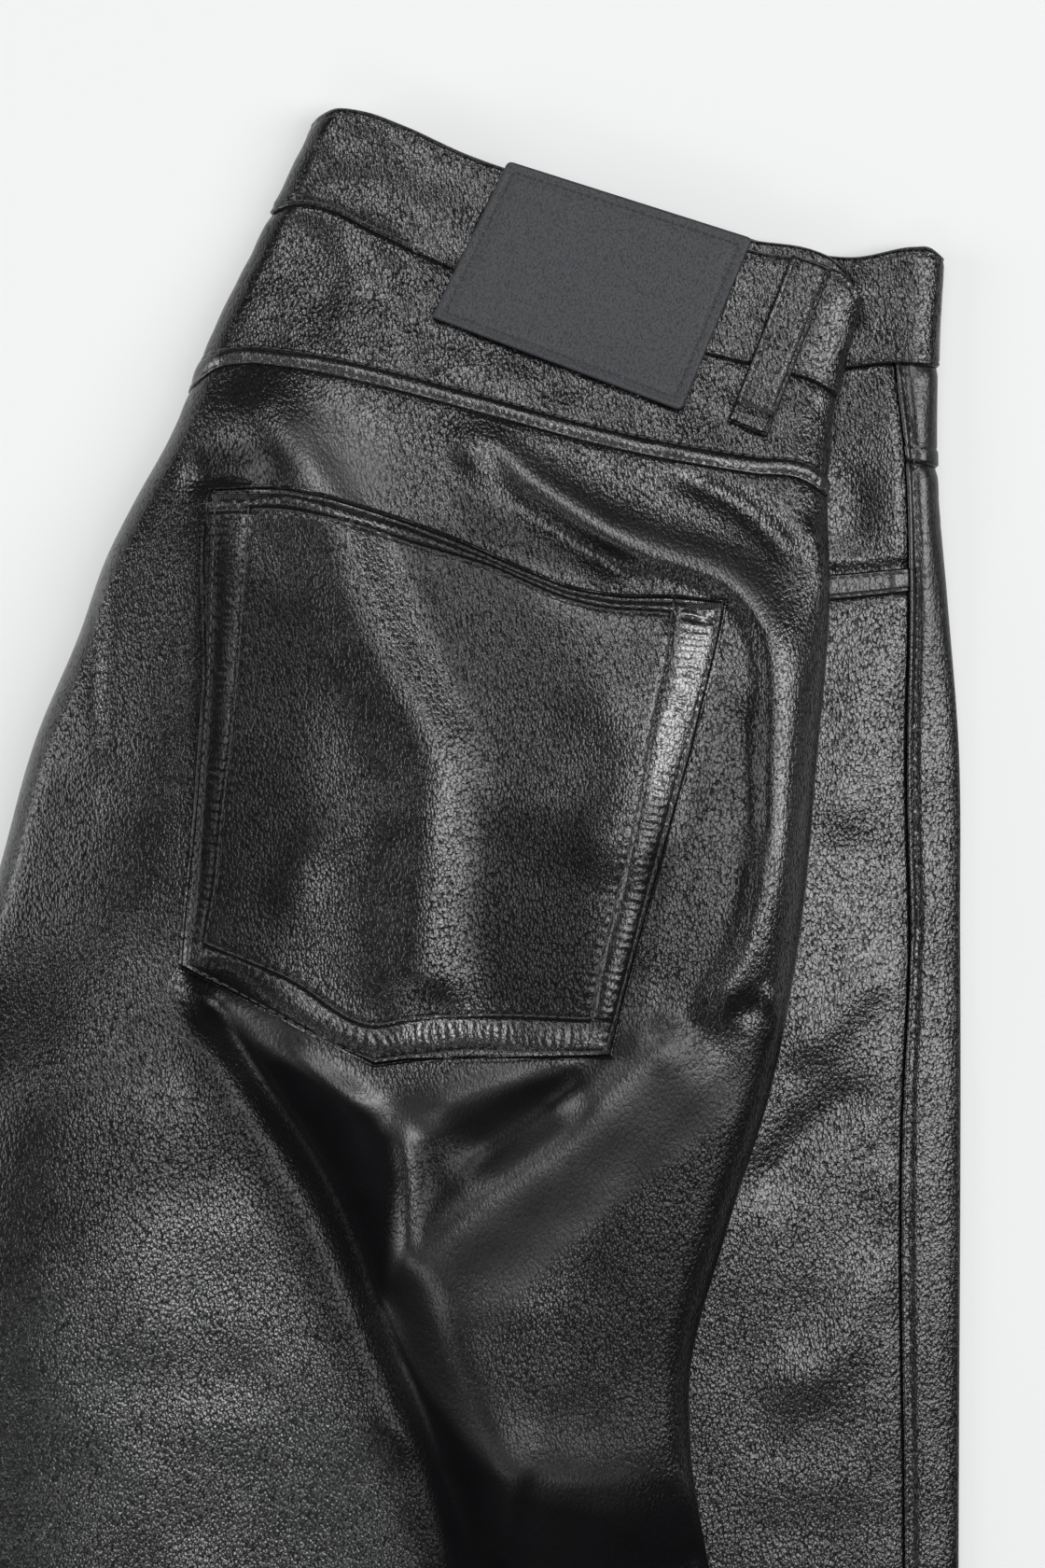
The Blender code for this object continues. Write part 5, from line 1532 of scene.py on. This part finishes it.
def build_stage():
    mesh = bpy.data.meshes.new("floor")
    corners = [(x * FLOOR_HALF, y * FLOOR_HALF, 0) for x, y in ((-1, -1), (1, -1), (1, 1), (-1, 1))]
    mesh.from_pydata(corners, [], [(0, 1, 2, 3)])
    n = Nodes("white_board")
    for key, value in WHITE_BOARD.items():
        n.shader[key].default_value = value
    mesh.materials.append(n.material)
    floor = add_object("floor", mesh)
    return floor


LAMP_TARGET = np.array((0.03, 0.34, 0.0))  # the middle of the garment's top, in metres
# The lamps. Columns: name, place from there in metres, width, height, power in watts.
LAMPS = (
    ("softbox_right", (0.9, 0.1, 1.45), 0.6, 1.7, 32.0),
    ("softbox_left", (-1.4, 0.1, 0.6), 0.9, 1.4, 22.0),
    ("softbox_foot", (-0.4, -1.0, 1.4), 0.8, 0.4, 4.0),
    ("softbox_head", (0.0, 0.8, 1.5), 0.8, 0.4, 10.0),
)


def build_lights():
    for name, place, width, height, power in LAMPS:
        light = bpy.data.lights.new(name, "AREA")
        light.shape = "RECTANGLE"
        light.size, light.size_y, light.energy = width, height, power
        made = add_object(name, light)
        made.location = LAMP_TARGET + place
        towards = Vector(LAMP_TARGET) - Vector(LAMP_TARGET + place)
        made.rotation_euler = towards.to_track_quat("-Z", "Y").to_euler()
    world = bpy.data.worlds.new("studio")
    bpy.context.scene.world = world
    world.use_nodes = True
    n = Nodes(tree=world.node_tree)
    background = world.node_tree.nodes["Background"]
    background.inputs["Strength"].default_value = 0.04
    background.inputs["Color"].default_value = (1.0, 1.0, 1.0, 1.0)
    pale = n.add("Background", Color=(0.88, 0.89, 0.90, 1.0))  # what the camera sees past the floor
    seen = n.add("LightPath").outputs["Is Camera Ray"]
    mix = n.add("MixShader", _0=seen, _1=background.outputs[0], _2=pale.outputs[0])
    n.link(mix.outputs[0], world.node_tree.nodes["World Output"].inputs["Surface"])


def build_camera():
    x, y, z = frame_points(np.float64(VIEW_ACROSS), np.float64(VIEW_DOWN), np.float64(VIEW_LEVEL))
    camera = bpy.data.cameras.new("camera")
    camera.sensor_fit = "VERTICAL"
    camera.sensor_height = 36.0
    camera.lens = camera.sensor_height * CAMERA_DISTANCE / (VIEW_HEIGHT * MM)
    camera.clip_end = 50.0
    made = add_object("camera", camera)
    made.location = (x, y, z + CAMERA_DISTANCE)
    bpy.context.scene.camera = made
    bpy.context.scene.view_settings.view_transform = "Standard"


# ---- Putting it together ----


def main():
    build_camera()
    pieces = {
        "yoke_right": build_yoke(),
        "back_panel_right": build_back_panel(),
        "back_pocket_right": build_pocket(),
        "hidden_layers_right": build_front_panel_right(),
        "hem_right": hem_ring("hem_right_leather", RIGHT_LEG, RIGHT_HEM_DOWN),
        "back_panel_left": build_back_panel_left(),
        "yoke_left": build_yoke_left(),
        "front_panel_left": build_front_panel_left(),
        "hem_left": hem_ring("hem_left_leather", LEFT_LEG, LEFT_HEM_DOWN),
        "waistband": build_waistband(),
        "back_patch": build_patch(),
        "belt_loop_side": build_belt_loop(),
    }
    pieces["pocket_facing_left"], pieces["pocket_mouth_left"] = build_front_pocket()
    for node, piece in pieces.items():
        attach(piece, "root")
        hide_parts(node)
    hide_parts("hidden_layers_left")
    stitching = sew(pieces)
    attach(stitching, "root")
    build_stage()
    build_lights()


main()
